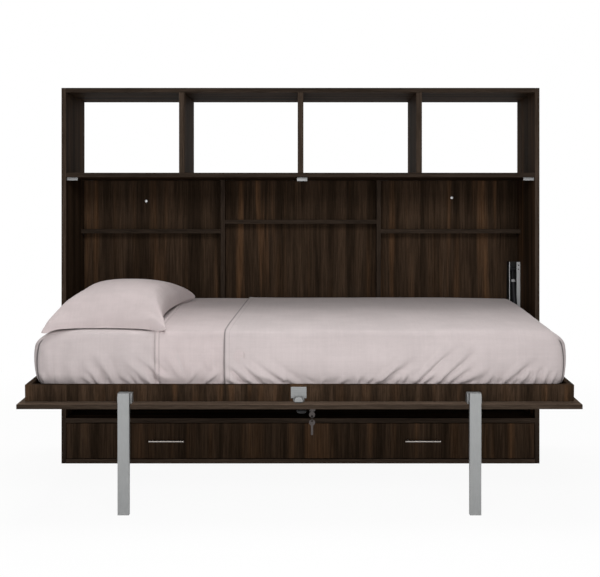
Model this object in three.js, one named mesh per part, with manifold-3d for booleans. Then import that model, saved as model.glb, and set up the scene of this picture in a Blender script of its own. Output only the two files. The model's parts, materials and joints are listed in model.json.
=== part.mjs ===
// Wall bed: a low dark wood cabinet with a single bed that folds down sideways along its long edge.
// Millimetres, X to the right, Y into the wall, Z up.
// The origin is the centre of the base panel's underside.

import * as THREE from "three";
import { mergeVertices } from "three/addons/utils/BufferGeometryUtils.js";
import Module from "manifold-3d";

const wasm = await Module();
wasm.setup();

// The mattress, which the bed and the cabinet are built round
const mattress_length = 1900;
const mattress_width = 900;
const mattress_height = 214;
const mattress_end_gap = 11;
const mattress_front_gap = 9;
const mattress_rear_gap = 2;
const mattress_lift = 28;
const mattress_niche_gap = 27;
const mattress_edge = 38;
const mattress_crown = 7;
const mattress_waist = 4;

// Driving sizes of the bed
const bed_slope = 3.5;
const pivot_inset = 28;
const bed_back_gap = 54;
const panel_board = 16;
const panel_side_gap = 3;
const panel_top_gap = 3;
const panel_bottom_gap = 5;
const panel_tail = 24;
const ledge = 48;
const rail_height = 60;
const rail_side_room = 21;
const end_rail_tail = 58;

// Driving sizes of the cabinet
const board = 19;
const divider_board = 24;
const back_board = 8;
const back_inset = 2;
const seat = 0.3;
const overrun = 5;
const hutch_height = 343;
const drawer_bay_height = 155;
const middle_niche_width = 691;
const niche_depth = 65;
const niche_floor_lift = 214;
const niche_floor_gap = 10;
const lower_side_niche_height = 319;
const lower_middle_niche_height = 362;

// Driving sizes of the legs
const leg_inset = 361;
const leg_width = 40;
const leg_depth = 20;
const leg_wall = 2;
const leg_rise = 29;
const leg_reach = 27;
const leg_pin_height = 10;
const leg_pin_inset = 37;
const leg_pin_radius = 3;
const leg_eye_radius = 7;
const leg_arm_width = 34;
const leg_side_gap = 1.2;
const cheek_board = 4;
const cheek_height = 35;
const cheek_length = 36;
const bracket_back = 3;
const foot_plug = 12;

// Planes across the cabinet's width: the mattress, its end rails, and room for the strut at their ends
const mattress_half = mattress_length / 2;
const end_inner = mattress_half + mattress_end_gap;
const end_outer = end_inner + board;
const inner_half = end_outer + rail_side_room;
const half_width = inner_half + board;
const fitted = inner_half - seat;
const panel_half = inner_half - panel_side_gap;

// Planes through its depth: when the bed is up, the mattress stands between the face panel and the niches
const cabinet_depth = panel_board + mattress_lift + mattress_height + mattress_niche_gap + niche_depth
  + back_board + back_inset;
const front = -cabinet_depth / 2;
const back = cabinet_depth / 2;
const back_board_rear = back - back_inset;
const back_board_face = back_board_rear - back_board;
const niche_front = back_board_face - niche_depth;
const pivot_y = front + pivot_inset;

// Planes along the bed's own Y, measured from the pivot
const mattress_rear = niche_front - bed_back_gap - pivot_y;
const mattress_front = mattress_rear - mattress_width;
const rail_back = mattress_front - mattress_front_gap;
const rail_face = rail_back - board;
const panel_front = rail_face - ledge;
const rear_rail_face = mattress_rear + mattress_rear_gap;
const panel_rear = rear_rail_face + board + panel_tail;

// Planes up the cabinet's height: the recess takes the face panel stood on its rear edge
const base_top = board;
const deck_bottom = base_top + drawer_bay_height;
const deck_top = deck_bottom + board;
const pivot_height = deck_top + panel_bottom_gap + panel_rear;
const recess_top = pivot_height - panel_front + panel_top_gap;
const hutch_floor = recess_top + board;
const top_bottom = hutch_floor + hutch_height;
const cabinet_height = top_bottom + board;

// Materials
const wood = new THREE.MeshStandardMaterial({ color: 0x33261f, roughness: 0.55, metalness: 0 });
const wood_edge = new THREE.MeshStandardMaterial({ color: 0x3b2c25, roughness: 0.5, metalness: 0 });
const plain_wood = new THREE.MeshStandardMaterial({ color: 0xb99a72, roughness: 0.7, metalness: 0 });
const satin = new THREE.MeshStandardMaterial({ color: 0xa8a8a6, roughness: 0.4, metalness: 0.8 });
const zinc = new THREE.MeshStandardMaterial({ color: 0x9fa1a3, roughness: 0.45, metalness: 0.85 });
const chrome = new THREE.MeshStandardMaterial({ color: 0xc9cacc, roughness: 0.15, metalness: 1 });
const dark = new THREE.MeshStandardMaterial({ color: 0x1b1b1d, roughness: 0.5, metalness: 0.3 });
const cover = new THREE.MeshStandardMaterial({ color: 0xbeb0ad, roughness: 0.95, metalness: 0 });
const linen = new THREE.MeshStandardMaterial({ color: 0xc4b6b3, roughness: 0.95, metalness: 0 });

// Shape helpers
function block(x0, x1, y0, y1, z0, z1) {
  const geometry = new THREE.BoxGeometry(x1 - x0, y1 - y0, z1 - z0);
  geometry.translate((x0 + x1) / 2, (y0 + y1) / 2, (z0 + z1) / 2);
  return geometry;
}

function rod_x(x0, x1, y, z, radius, sides) {
  const geometry = new THREE.CylinderGeometry(radius, radius, x1 - x0, sides);
  geometry.rotateZ(Math.PI / 2);
  geometry.translate((x0 + x1) / 2, y, z);
  return geometry;
}

function rod_y(x, y0, y1, z, radius, sides) {
  const geometry = new THREE.CylinderGeometry(radius, radius, y1 - y0, sides);
  geometry.translate(x, (y0 + y1) / 2, z);
  return geometry;
}

function rod_z(x, y, z0, z1, radius, sides) {
  const geometry = new THREE.CylinderGeometry(radius, radius, z1 - z0, sides);
  geometry.rotateX(Math.PI / 2);
  geometry.translate(x, y, (z0 + z1) / 2);
  return geometry;
}

// A profile of [radius, height] points turned about an upright axis
function turned(profile, sides) {
  const points = profile.map(([r, z]) => new THREE.Vector2(r, z));
  const geometry = new THREE.LatheGeometry(points, sides);
  geometry.rotateX(Math.PI / 2);
  return geometry;
}

// An outline of [y, z] points drawn out along X
function drawn_x(outline, x0, x1, holes = []) {
  const shape = new THREE.Shape(outline.map(([y, z]) => new THREE.Vector2(y, z)));
  for (const hole of holes) shape.holes.push(hole);
  const geometry = new THREE.ExtrudeGeometry(shape, { depth: x1 - x0, bevelEnabled: false });
  geometry.applyMatrix4(new THREE.Matrix4().set(0, 0, 1, x0, 1, 0, 0, 0, 0, 1, 0, 0, 0, 0, 0, 1));
  return geometry;
}

// An outline of [x, z] points drawn out along Y
function drawn_y(outline, y0, y1, holes = []) {
  const shape = new THREE.Shape(outline.map(([x, z]) => new THREE.Vector2(x, z)));
  for (const hole of holes) shape.holes.push(hole);
  const geometry = new THREE.ExtrudeGeometry(shape, { depth: y1 - y0, bevelEnabled: false });
  geometry.applyMatrix4(new THREE.Matrix4().set(1, 0, 0, 0, 0, 0, -1, y1, 0, 1, 0, 0, 0, 0, 0, 1));
  return geometry;
}

// An outline of [x, y] points drawn out along Z
function drawn_z(outline, z0, z1, holes = []) {
  const shape = new THREE.Shape(outline.map(([x, y]) => new THREE.Vector2(x, y)));
  for (const hole of holes) shape.holes.push(hole);
  const geometry = new THREE.ExtrudeGeometry(shape, { depth: z1 - z0, bevelEnabled: false });
  geometry.translate(0, 0, z0);
  return geometry;
}

function round_hole(a, b, radius) {
  const path = new THREE.Path();
  path.absarc(a, b, radius, 0, Math.PI * 2, true);
  return path;
}

function solid(geometry) {
  const bare = geometry.clone();
  bare.deleteAttribute("normal");
  bare.deleteAttribute("uv");
  const merged = mergeVertices(bare, 1e-4);
  const triVerts = new Uint32Array(merged.index.array);
  const vertProperties = new Float32Array(merged.attributes.position.array);
  return new wasm.Manifold(new wasm.Mesh({ numProp: 3, vertProperties, triVerts }));
}

function geometry_of(body) {
  const mesh = body.getMesh();
  const geometry = new THREE.BufferGeometry();
  const step = mesh.numProp;
  const count = mesh.vertProperties.length / step;
  const positions = new Float32Array(count * 3);
  for (let i = 0; i < count; i += 1) {
    for (let k = 0; k < 3; k += 1) positions[i * 3 + k] = mesh.vertProperties[i * step + k];
  }
  geometry.setAttribute("position", new THREE.BufferAttribute(positions, 3));
  geometry.setIndex(new THREE.BufferAttribute(new Uint32Array(mesh.triVerts), 1));
  const split = geometry.toNonIndexed();
  split.computeVertexNormals();
  return split;
}

function joined(...geometries) {
  return geometry_of(geometries.map(solid).reduce((sum, body) => sum.add(body)));
}

function cut(geometry, ...tools) {
  return geometry_of(tools.map(solid).reduce((rest, tool) => rest.subtract(tool), solid(geometry)));
}

function add(group, name, geometry, material) {
  const mesh = new THREE.Mesh(geometry, material.clone());
  mesh.name = name;
  group.add(mesh);
  return mesh;
}

const part = new THREE.Group();
const cabinet = new THREE.Group();
part.add(cabinet);

// Cabinet boards
for (const [name, side] of [["side_panel_left", -1], ["side_panel_right", 1]]) {
  const x0 = Math.min(side * half_width, side * inner_half);
  add(cabinet, name, block(x0, x0 + board, front, back, 0, cabinet_height), wood);
}
add(cabinet, "top_panel", block(-fitted, fitted, front, back, top_bottom, cabinet_height), wood);
add(cabinet, "hutch_shelf", block(-fitted, fitted, front, back, recess_top, hutch_floor), wood);
add(cabinet, "base_panel", block(-fitted, fitted, front, back, 0, base_top), wood);
add(cabinet, "drawer_deck", block(-fitted, fitted, front, back_board_face - seat,
  deck_bottom, deck_top), wood);

const cubby_pitch = (2 * inner_half + divider_board) / 4;
for (const [name, count] of [["hutch_divider_left", -1], ["hutch_divider_middle", 0],
  ["hutch_divider_right", 1]]) {
  const x = count * cubby_pitch;
  const x0 = x - divider_board / 2;
  const z0 = hutch_floor + seat;
  add(cabinet, name, block(x0, x0 + divider_board, front, back, z0, top_bottom - seat), wood);
}
add(cabinet, "back_panel", block(-fitted, fitted, back_board_face, back_board_rear,
  base_top + seat, recess_top - seat), wood);

// Niches behind the bed
const niche_back = back_board_face - seat;
const niche_floor_top = pivot_height + niche_floor_lift;
const niche_divider_offset = (middle_niche_width + board) / 2;
for (const [name, side] of [["niche_divider_left", -1], ["niche_divider_right", 1]]) {
  const x = side * niche_divider_offset;
  add(cabinet, name, block(x - board / 2, x + board / 2, niche_front, niche_back,
    niche_floor_top + seat, recess_top - seat), wood);
}
const bay_edge = niche_divider_offset + board / 2 + seat;
const bay_inner = niche_divider_offset - board / 2 - seat;
const side_shelf = niche_floor_top + lower_side_niche_height;
const middle_shelf = niche_floor_top + lower_middle_niche_height;
add(cabinet, "niche_shelf_left", block(-fitted, -bay_edge, niche_front, niche_back,
  side_shelf, side_shelf + board), wood);
add(cabinet, "niche_shelf_middle", block(-bay_inner, bay_inner, niche_front, niche_back,
  middle_shelf, middle_shelf + board), wood);
add(cabinet, "niche_shelf_right", block(bay_edge, fitted, niche_front, niche_back,
  side_shelf, side_shelf + board), wood);

// The niche floor stops short of the strut's channel
const channel_width = 50;
const channel_x1 = fitted;
const channel_x0 = channel_x1 - channel_width;
add(cabinet, "niche_floor", block(-fitted, channel_x0 - niche_floor_gap, niche_front, niche_back,
  niche_floor_top - board, niche_floor_top), wood);

// Wall fixing screw caps on the back panel
const cap_radius = 7;
const cap_height = 3;
const cap_rim = 1;
const cap_left_inset = 287;
const cap_right_inset = 304;
const cap_left_height_share = 0.576;
const cap_right_height_share = 0.647;
const upper_niche_floor = side_shelf + board;
const upper_niche_height = recess_top - upper_niche_floor;
function screw_cap(x, z) {
  const dome = turned([[0, 0], [cap_radius, 0], [cap_radius, cap_rim],
    [cap_radius - cap_rim, cap_height - cap_rim / 2], [0, cap_height]], 20);
  dome.rotateX(Math.PI / 2);
  dome.translate(x, back_board_face - seat, z);
  return dome;
}
add(cabinet, "wall_screw_cap_left", screw_cap(cap_left_inset - inner_half,
  upper_niche_floor + upper_niche_height * cap_left_height_share), zinc);
add(cabinet, "wall_screw_cap_right", screw_cap(inner_half - cap_right_inset,
  upper_niche_floor + upper_niche_height * cap_right_height_share), zinc);

// Closing stops and the strike under the hutch shelf: a hanging lip and a flange screwed up to the shelf
const plate = 2;
const stop_gap = 0.5;
const stop_length = 46;
const stop_drop = 13;
const stop_flange = 22;
const strike_length = 44;
const strike_drop = 16;
const strike_centre = 7;
const lip_front = front + panel_board + stop_gap;
const plate_top = recess_top - seat;
function hanging_plate(x0, x1, drop) {
  const outline = [[lip_front, plate_top - drop], [lip_front + plate, plate_top - drop],
    [lip_front + plate, plate_top - plate], [lip_front + stop_flange, plate_top - plate],
    [lip_front + stop_flange, plate_top], [lip_front, plate_top]];
  return drawn_x(outline, x0, x1);
}
add(cabinet, "stop_plate_left", hanging_plate(-fitted, -fitted + stop_length, stop_drop), zinc);
add(cabinet, "stop_plate_right", hanging_plate(fitted - stop_length, fitted, stop_drop), zinc);
add(cabinet, "strike_plate", hanging_plate(strike_centre - strike_length / 2,
  strike_centre + strike_length / 2, strike_drop), zinc);

// Bed group, level in its own frame and sloping down towards its legs by bed_slope
const bed = new THREE.Group();
bed.position.set(0, pivot_y, pivot_height);
bed.rotation.x = THREE.MathUtils.degToRad(bed_slope);
part.add(bed);

const panel_outer = -pivot_inset;
const panel_inner = panel_outer + panel_board;
const rail_bottom = panel_inner + seat;
const rail_top = panel_inner + rail_height;
const mattress_bottom = panel_inner + mattress_lift;
const mattress_top = mattress_bottom + mattress_height;

// Leg pin line in the bed's frame
const leg_offset = end_outer - leg_inset;
const leg_pin_y = panel_front + leg_pin_inset;
const leg_pin_z = panel_inner + leg_pin_height;
const notch_half = leg_width / 2 + leg_side_gap;

// Lock places in the bed's frame
const lock_x = -3;
const barrel_x = 45;
const barrel_radius = 12.3;
const barrel_drop = 27;
const plug_radius = 6.5;
const plug_gap = 0.4;
const knob_x = 7;
const case_depth = 36;
const barrel_y = rail_back + case_depth / 2;
const knob_y = barrel_y;
const knob_radius = 18;
const knob_drop = 33;
const bolt_width = 29;
const bolt_lift = 3.5;
const bolt_height = 17;
const bolt_throw = 16;
const bolt_reach = 27;
const bolt_tail = 6;
const bolt_gap = 0.5;
const neck_half = 20;
const neck_height = 34;
const neck_gap = 0.4;

// Face panel with the leg notches and the holes for the lock barrel and the knob's stem
const knob_stem = 5;
const panel_outline = [[-panel_half, panel_front]];
for (const side of [-1, 1]) {
  const x = side * leg_offset;
  const notch_back = rail_face - seat * 2;
  panel_outline.push([x - notch_half, panel_front], [x - notch_half, notch_back]);
  panel_outline.push([x + notch_half, notch_back], [x + notch_half, panel_front]);
}
panel_outline.push([panel_half, panel_front], [panel_half, panel_rear], [-panel_half, panel_rear]);
const panel_holes = [round_hole(barrel_x, barrel_y, barrel_radius + seat),
  round_hole(knob_x, knob_y, knob_stem + seat)];
add(bed, "face_panel", drawn_z(panel_outline, panel_outer, panel_inner, panel_holes), wood);

// An arch outline of the bolt, in X and Z, grown by a margin
const arch_share = 0.62;
function arch(margin) {
  const half = bolt_width / 2 + margin;
  const z0 = panel_inner + bolt_lift - margin;
  const z1 = panel_inner + bolt_lift + bolt_height + margin;
  const shoulder = z1 - half * arch_share;
  const points = [[lock_x - half, z0], [lock_x + half, z0]];
  const steps = 8;
  for (let i = 0; i <= steps; i += 1) {
    const a = (Math.PI * i) / steps;
    points.push([lock_x + half * Math.cos(a), shoulder + (z1 - shoulder) * Math.sin(a)]);
  }
  return points;
}

// Frame rails standing on the face panel
const front_rail_body = block(-end_outer, end_outer, rail_face, rail_back, rail_bottom, rail_top);
add(bed, "front_rail", cut(front_rail_body,
  block(lock_x - neck_half - neck_gap, lock_x + neck_half + neck_gap, rail_face - overrun,
    rail_back + overrun, panel_inner, panel_inner + neck_height + neck_gap)), wood);
add(bed, "rear_rail", block(-mattress_half, mattress_half, rear_rail_face, rear_rail_face + board,
  rail_bottom, rail_top), wood);

const pin_radius = 6;
const pin_gap = 0.3;
const flange_radius = 10.5;
const flange_board = 4;
const bearing_plate = 2.2;
const bearing_boss = 11;
const bearing_length = 8;
const bearing_half = 36;
for (const [name, side] of [["end_rail_left", -1], ["end_rail_right", 1]]) {
  const x0 = Math.min(side * end_inner, side * end_outer);
  const body = block(x0, x0 + board, rail_back + seat, end_rail_tail, rail_bottom, rail_top);
  const bore = rod_x(x0 - overrun, x0 + board + overrun, 0, 0, pin_radius + pin_gap, 24);
  add(bed, name, cut(body, bore), wood);
}

// Pivot pins through the end rails, each with a flange against the rail's outer face
for (const [name, side] of [["pivot_pin_left", -1], ["pivot_pin_right", 1]]) {
  const reach = fitted - seat;
  const face = end_outer + seat;
  const shaft = rod_x(end_inner, reach, 0, 0, pin_radius, 24);
  const flange = rod_x(face, face + flange_board, 0, 0, flange_radius, 24);
  const pin = joined(shaft, flange);
  if (side < 0) pin.rotateZ(Math.PI);
  add(bed, name, pin, zinc);
}

// Bearings on the side panels: a plate with a boss round the pin
for (const [name, side] of [["pivot_bearing_left", -1], ["pivot_bearing_right", 1]]) {
  const x1 = fitted;
  const x0 = x1 - bearing_plate;
  const body = joined(
    block(x0, x1, pivot_y - pivot_inset + seat, pivot_y + bearing_half,
      pivot_height - bearing_half, pivot_height + bearing_half),
    rod_x(x1 - bearing_length, x1, pivot_y, pivot_height, bearing_boss, 24));
  const bearing = cut(body, rod_x(x1 - bearing_length - overrun, x1 + overrun, pivot_y,
    pivot_height, pin_radius + pin_gap, 24));
  if (side < 0) {
    bearing.translate(0, -pivot_y, 0);
    bearing.applyMatrix4(new THREE.Matrix4().makeScale(-1, 1, 1));
    bearing.translate(0, pivot_y, 0);
    const flipped = bearing.attributes.position;
    for (let i = 0; i < flipped.count; i += 3) {
      const a = new THREE.Vector3().fromBufferAttribute(flipped, i + 1);
      const b = new THREE.Vector3().fromBufferAttribute(flipped, i + 2);
      flipped.setXYZ(i + 1, b.x, b.y, b.z);
      flipped.setXYZ(i + 2, a.x, a.y, a.z);
    }
    bearing.computeVertexNormals();
  }
  add(cabinet, name, bearing, zinc);
}

// Slatted base: cross slats on three long bearers
const slat_board = 12;
const slat_width = 75;
const slat_count = 13;
const slat_margin = 6;
const bearer_width = 60;
const slat_top = mattress_bottom - seat;
const slat_bottom = slat_top - slat_board;
const slat_half = mattress_half - slat_margin;
const slat_front = mattress_front + case_depth + slat_margin;
const slat_rear = mattress_rear - slat_margin;
const slat_pitch = (2 * slat_half - slat_width) / (slat_count - 1);
const slat_middle = (slat_front + slat_rear) / 2;
const slats = [];
for (let i = 0; i < slat_count; i += 1) {
  const x0 = -slat_half + i * slat_pitch;
  slats.push(block(x0, x0 + slat_width, slat_front, slat_rear, slat_bottom, slat_top));
}
const bearers = [slat_front, slat_middle - bearer_width / 2, slat_rear - bearer_width].map((y0) =>
  block(-slat_half, slat_half, y0, y0 + bearer_width, panel_inner + seat, slat_bottom + seat));
add(bed, "slatted_base", joined(...slats, ...bearers), plain_wood);

// Lock: a case behind the front rail whose neck and brushed face plate come through it
const case_left = 32;
const case_right = 68;
const case_top = mattress_bottom - seat - plate;
const plug_reach = 4;
const bolt_tail_room = bolt_tail + bolt_throw;
const lock_plate_width = 56;
const lock_plate_lift = 12;
const lock_plate_margin = 7;
const lock_housing = joined(
  block(lock_x - case_left, lock_x + case_right, rail_back + seat, rail_back + case_depth,
    panel_inner + seat, case_top),
  block(lock_x - neck_half, lock_x + neck_half, rail_face - seat - plate,
    rail_back + case_depth / 2, panel_inner + seat, case_top),
  block(lock_x - neck_half, lock_x + neck_half, rail_face - seat - plate, rail_back - neck_gap,
    panel_inner + seat, panel_inner + neck_height),
  block(lock_x - lock_plate_width / 2, lock_x + lock_plate_width / 2, rail_face - seat - plate,
    rail_face - seat, panel_inner + lock_plate_lift, rail_top - lock_plate_margin));
add(bed, "lock_case", cut(lock_housing,
  drawn_y(arch(bolt_gap), rail_face - overrun, rail_back + bolt_tail_room),
  rod_z(barrel_x, barrel_y, panel_inner - overrun, panel_inner + plug_reach + plug_gap * 2,
    plug_radius + plug_gap, 24)), satin);

const bolt_front = rail_face - bolt_reach;
add(bed, "lock_bolt", drawn_y(arch(0), bolt_front, rail_back + bolt_tail), satin);

const barrel_rim = 1.5;
const barrel_bottom = panel_outer - barrel_drop;
const barrel = turned([[barrel_radius - barrel_rim, barrel_bottom],
  [barrel_radius, barrel_bottom + barrel_rim], [barrel_radius, panel_inner - seat],
  [plug_radius + plug_gap, panel_inner - seat], [plug_radius + plug_gap, barrel_bottom],
  [barrel_radius - barrel_rim, barrel_bottom]], 28);
barrel.translate(barrel_x, barrel_y, 0);
add(bed, "lock_barrel", barrel, chrome);

const key_board = 2.4;
const keyway_width = 9;
const keyway_depth = 20;
const plug_body = rod_z(barrel_x, barrel_y, barrel_bottom - seat, panel_inner + plug_reach,
  plug_radius, 24);
const keyway = block(barrel_x - keyway_width / 2 - plug_gap, barrel_x + keyway_width / 2 + plug_gap,
  barrel_y - key_board / 2 - plug_gap, barrel_y + key_board / 2 + plug_gap,
  barrel_bottom - overrun, barrel_bottom + keyway_depth + plug_gap);
add(bed, "lock_plug", cut(plug_body, keyway), chrome);

// Keys: one in the plug, one hanging from it on a ring
const bow_radius = 11;
const bow_hole = 3.4;
const blade_half = 4;
const shoulder = 3;
const bow_centre = barrel_bottom - shoulder - bow_radius;
function key_outline(sign, centre, blade_end) {
  const points = [];
  const steps = 20;
  const open = Math.asin(blade_half / bow_radius);
  for (let i = 0; i <= steps; i += 1) {
    const a = open + ((Math.PI * 2 - open * 2) * i) / steps;
    points.push([bow_radius * Math.sin(a), centre + sign * bow_radius * Math.cos(a)]);
  }
  points.push([-blade_half, blade_end], [blade_half, blade_end]);
  return sign > 0 ? points.reverse() : points;
}
const bow_hole_share = 0.5;
const hole_drop = bow_radius * bow_hole_share;
const key_hole_z = bow_centre - hole_drop;
const rim_top = key_hole_z - bow_hole;
const rim_bottom = bow_centre - bow_radius;
const rim_height = rim_top - rim_bottom;
const key_blade_end = barrel_bottom + keyway_depth;
const key = drawn_y(key_outline(1, bow_centre, key_blade_end),
  barrel_y - key_board / 2, barrel_y + key_board / 2, [round_hole(0, key_hole_z, bow_hole)]);
key.translate(barrel_x, 0, 0);
add(bed, "key", key, chrome);

// The ring and the spare key hang plumb and swing round the rim under the first key's hole
const ring_radius = 6.5;
const ring_wire = 0.9;
const ring_play = 0.1;
const spare = new THREE.Group();
spare.position.set(barrel_x, barrel_y, (rim_top + rim_bottom) / 2);
spare.rotation.x = -bed.rotation.x;
bed.add(spare);
const ring = new THREE.TorusGeometry(ring_radius, ring_wire, 8, 24);
ring.rotateY(Math.PI / 2);
const ring_top = Math.hypot(rim_height, key_board) / 2 + ring_wire + ring_play;
ring.translate(0, 0, ring_top - ring_radius);
const spare_length = 34;
const ring_low = ring_top - ring_radius * 2;
const spare_centre = ring_low + ring_wire / 2 - bow_hole - hole_drop;
const spare_outline = key_outline(-1, spare_centre, spare_centre - bow_radius - spare_length);
const spare_key = drawn_y(spare_outline, -key_board / 2, key_board / 2,
  [round_hole(0, spare_centre + hole_drop, bow_hole)]);
add(spare, "spare_key", joined(ring, spare_key), chrome);

// Pull knob under the face panel
const knob_neck = 9;
const knob_lip = 3;
const knob = turned([[0, panel_outer - knob_drop], [knob_radius - knob_lip, panel_outer - knob_drop],
  [knob_radius, panel_outer - knob_drop + knob_lip],
  [knob_radius, panel_outer - knob_drop + knob_lip * 3],
  [knob_neck, panel_outer - knob_drop + knob_lip * 5], [knob_neck, panel_outer - seat],
  [knob_stem, panel_outer - seat], [knob_stem, panel_inner - seat], [0, panel_inner - seat]], 32);
knob.translate(knob_x, knob_y, 0);
add(bed, "pull_knob", knob, dark);

// Leg brackets: a U of two cheeks on the ledge and a back screwed to the rail
function bracket(x) {
  const inner = notch_half + seat / 2;
  const outer = inner + cheek_board;
  const y1 = rail_face - seat;
  const z0 = panel_inner + seat;
  const z1 = z0 + cheek_height;
  const fillet = cheek_height / 3;
  const cheek = [[y1, z0], [y1, z1], [y1 - cheek_length + fillet, z1],
    [y1 - cheek_length, z1 - fillet], [y1 - cheek_length, z0]];
  const pieces = [
    drawn_x(cheek, -outer, -inner), drawn_x(cheek, inner, outer),
    block(-outer, outer, y1 - bracket_back, y1, z0, z1)];
  const body = cut(joined(...pieces), rod_x(-outer - overrun, outer + overrun, leg_pin_y,
    leg_pin_z, leg_pin_radius + pin_gap, 16));
  body.translate(x, 0, 0);
  return body;
}
add(bed, "leg_bracket_left", bracket(-leg_offset), satin);
add(bed, "leg_bracket_right", bracket(leg_offset), satin);

// Legs, plumb in the open pose: a flat tube open at the top and an arm back to the pin
const slope = bed.rotation.x;
const leg_line_y = pivot_y + leg_pin_y * Math.cos(slope) - leg_pin_z * Math.sin(slope);
const leg_line_z = pivot_height + leg_pin_y * Math.sin(slope) + leg_pin_z * Math.cos(slope);
function leg() {
  const y1 = -leg_reach;
  const y0 = y1 - leg_depth;
  const z0 = -leg_line_z;
  const tube = block(-leg_width / 2, leg_width / 2, y0, y1, z0, leg_rise);
  const bore = block(-leg_width / 2 + leg_wall, leg_width / 2 - leg_wall, y0 + leg_wall,
    y1 - leg_wall, z0 + foot_plug, leg_rise + overrun);
  const arm = joined(
    block(-leg_arm_width / 2, leg_arm_width / 2, y1 - leg_wall, 0, -leg_eye_radius, leg_eye_radius),
    rod_x(-leg_arm_width / 2, leg_arm_width / 2, 0, 0, leg_eye_radius, 20));
  const pin_half = notch_half + cheek_board;
  const pin = rod_x(-pin_half, pin_half, 0, 0, leg_pin_radius, 16);
  return joined(cut(tube, bore), arm, pin);
}
for (const [label, side] of [["left", -1], ["right", 1]]) {
  const group = new THREE.Group();
  group.position.set(side * leg_offset, leg_line_y, leg_line_z);
  part.add(group);
  add(group, `leg_${label}`, leg(), satin);
}

// Gas strut at the right end: channel on the side panel, rod, cylinder and the bed's corner bracket
const strut_radius = 10.5;
const rod_radius = 4.5;
const strut_top_inset = 30;
const strut_top_lift = 369;
const strut_tail = 181;
const strut_tail_rise = 10;
const rod_shown = 50;
const rod_foot = 29;
const eye_radius = 9;
const eye_half = 8;
const eye_gap = 8.8;
const channel_board = 3;
const channel_front = 55;
const channel_lip = 16;
const channel_over = 33;
const channel_under = 115;
const strut_x = channel_x0 + channel_board + eye_half + eye_gap;
const strut_top_y = niche_back - strut_top_inset;
const strut_top_height = pivot_height + strut_top_lift;
const channel_top = strut_top_height + channel_over;
const channel_bottom = strut_top_height - channel_under;
const channel_face = niche_back - channel_front;
const channel_outline = [[channel_x0, channel_face], [channel_x0 + channel_board, channel_face],
  [channel_x0 + channel_board, niche_back - channel_board],
  [channel_x1 - channel_board, niche_back - channel_board],
  [channel_x1 - channel_board, channel_face + channel_board],
  [channel_x1 - channel_lip, channel_face + channel_board], [channel_x1 - channel_lip, channel_face],
  [channel_x1, channel_face], [channel_x1, niche_back], [channel_x0, niche_back]];
const anchor_radius = 4;
const channel_screw = 3;
const channel_screw_high = 14;
const channel_screw_low = 33;
const screw_y = strut_top_y - eye_radius - channel_screw * 2;
const channel_body = joined(drawn_z(channel_outline, channel_bottom, channel_top),
  rod_x(channel_x0 + channel_board / 2, channel_x1 - channel_board / 2, strut_top_y,
    strut_top_height, anchor_radius, 20));
const channel_holes = [channel_screw_high, channel_screw_low].flatMap((drop) => [
  rod_x(channel_x1 - channel_board - overrun, channel_x1 + overrun, screw_y, channel_top - drop,
    channel_screw, 16),
  rod_y(channel_x1 - channel_lip / 2, channel_face - overrun,
    channel_face + channel_board + overrun, channel_top - drop, channel_screw, 16)]);
add(cabinet, "strut_channel", cut(channel_body, ...channel_holes), zinc);

const pivot_point = new THREE.Vector2(pivot_y, pivot_height);
const strut_top = new THREE.Vector2(strut_top_y, strut_top_height);
const strut_foot = new THREE.Vector2(strut_tail, strut_tail_rise).add(pivot_point)
  .rotateAround(pivot_point, slope);
const strut_run = strut_top.clone().sub(strut_foot);
const strut_length = strut_run.length();
const strut_lean = Math.atan2(strut_run.x, strut_run.y);
const strut = new THREE.Group();
strut.position.set(strut_x, strut_top_y, strut_top_height);
strut.rotation.x = -strut_lean;
part.add(strut);
const cap_length = 12;
const bore_gap = 0.5;
const cylinder_top = -rod_shown;
const cylinder_bottom = -strut_length + eye_radius / 3;
const rod_bottom = cylinder_bottom + rod_foot;
const rod_body = joined(
  rod_z(0, 0, rod_bottom, -eye_radius / 2, rod_radius, 16),
  rod_x(-eye_half, eye_half, 0, 0, eye_radius, 24));
add(strut, "strut_rod", cut(rod_body, rod_x(-eye_half - overrun, eye_half + overrun, 0, 0,
  anchor_radius + pin_gap, 20)), dark);
const shell = turned([[0, cylinder_bottom], [strut_radius, cylinder_bottom],
  [strut_radius, cylinder_top - cap_length], [rod_radius * 2, cylinder_top],
  [0, cylinder_top]], 24);
const cylinder_bore = rod_z(0, 0, rod_bottom - bore_gap * 4, cylinder_top + overrun,
  rod_radius + bore_gap, 16);
add(strut, "strut_cylinder", joined(cut(shell, cylinder_bore),
  rod_x(-strut_radius, strut_radius, 0, -strut_length, eye_radius, 24)), dark);

const corner_board = 4;
const corner_half = 22;
const corner_height = 34;
const corner_face = strut_x + strut_radius + seat;
add(bed, "strut_bracket", drawn_x([[strut_tail - corner_half, panel_inner + seat],
  [strut_tail + corner_half, panel_inner + seat],
  [strut_tail + corner_half / 2, panel_inner + corner_height],
  [strut_tail - corner_half / 2, panel_inner + corner_height]],
corner_face, corner_face + corner_board), zinc);

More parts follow.
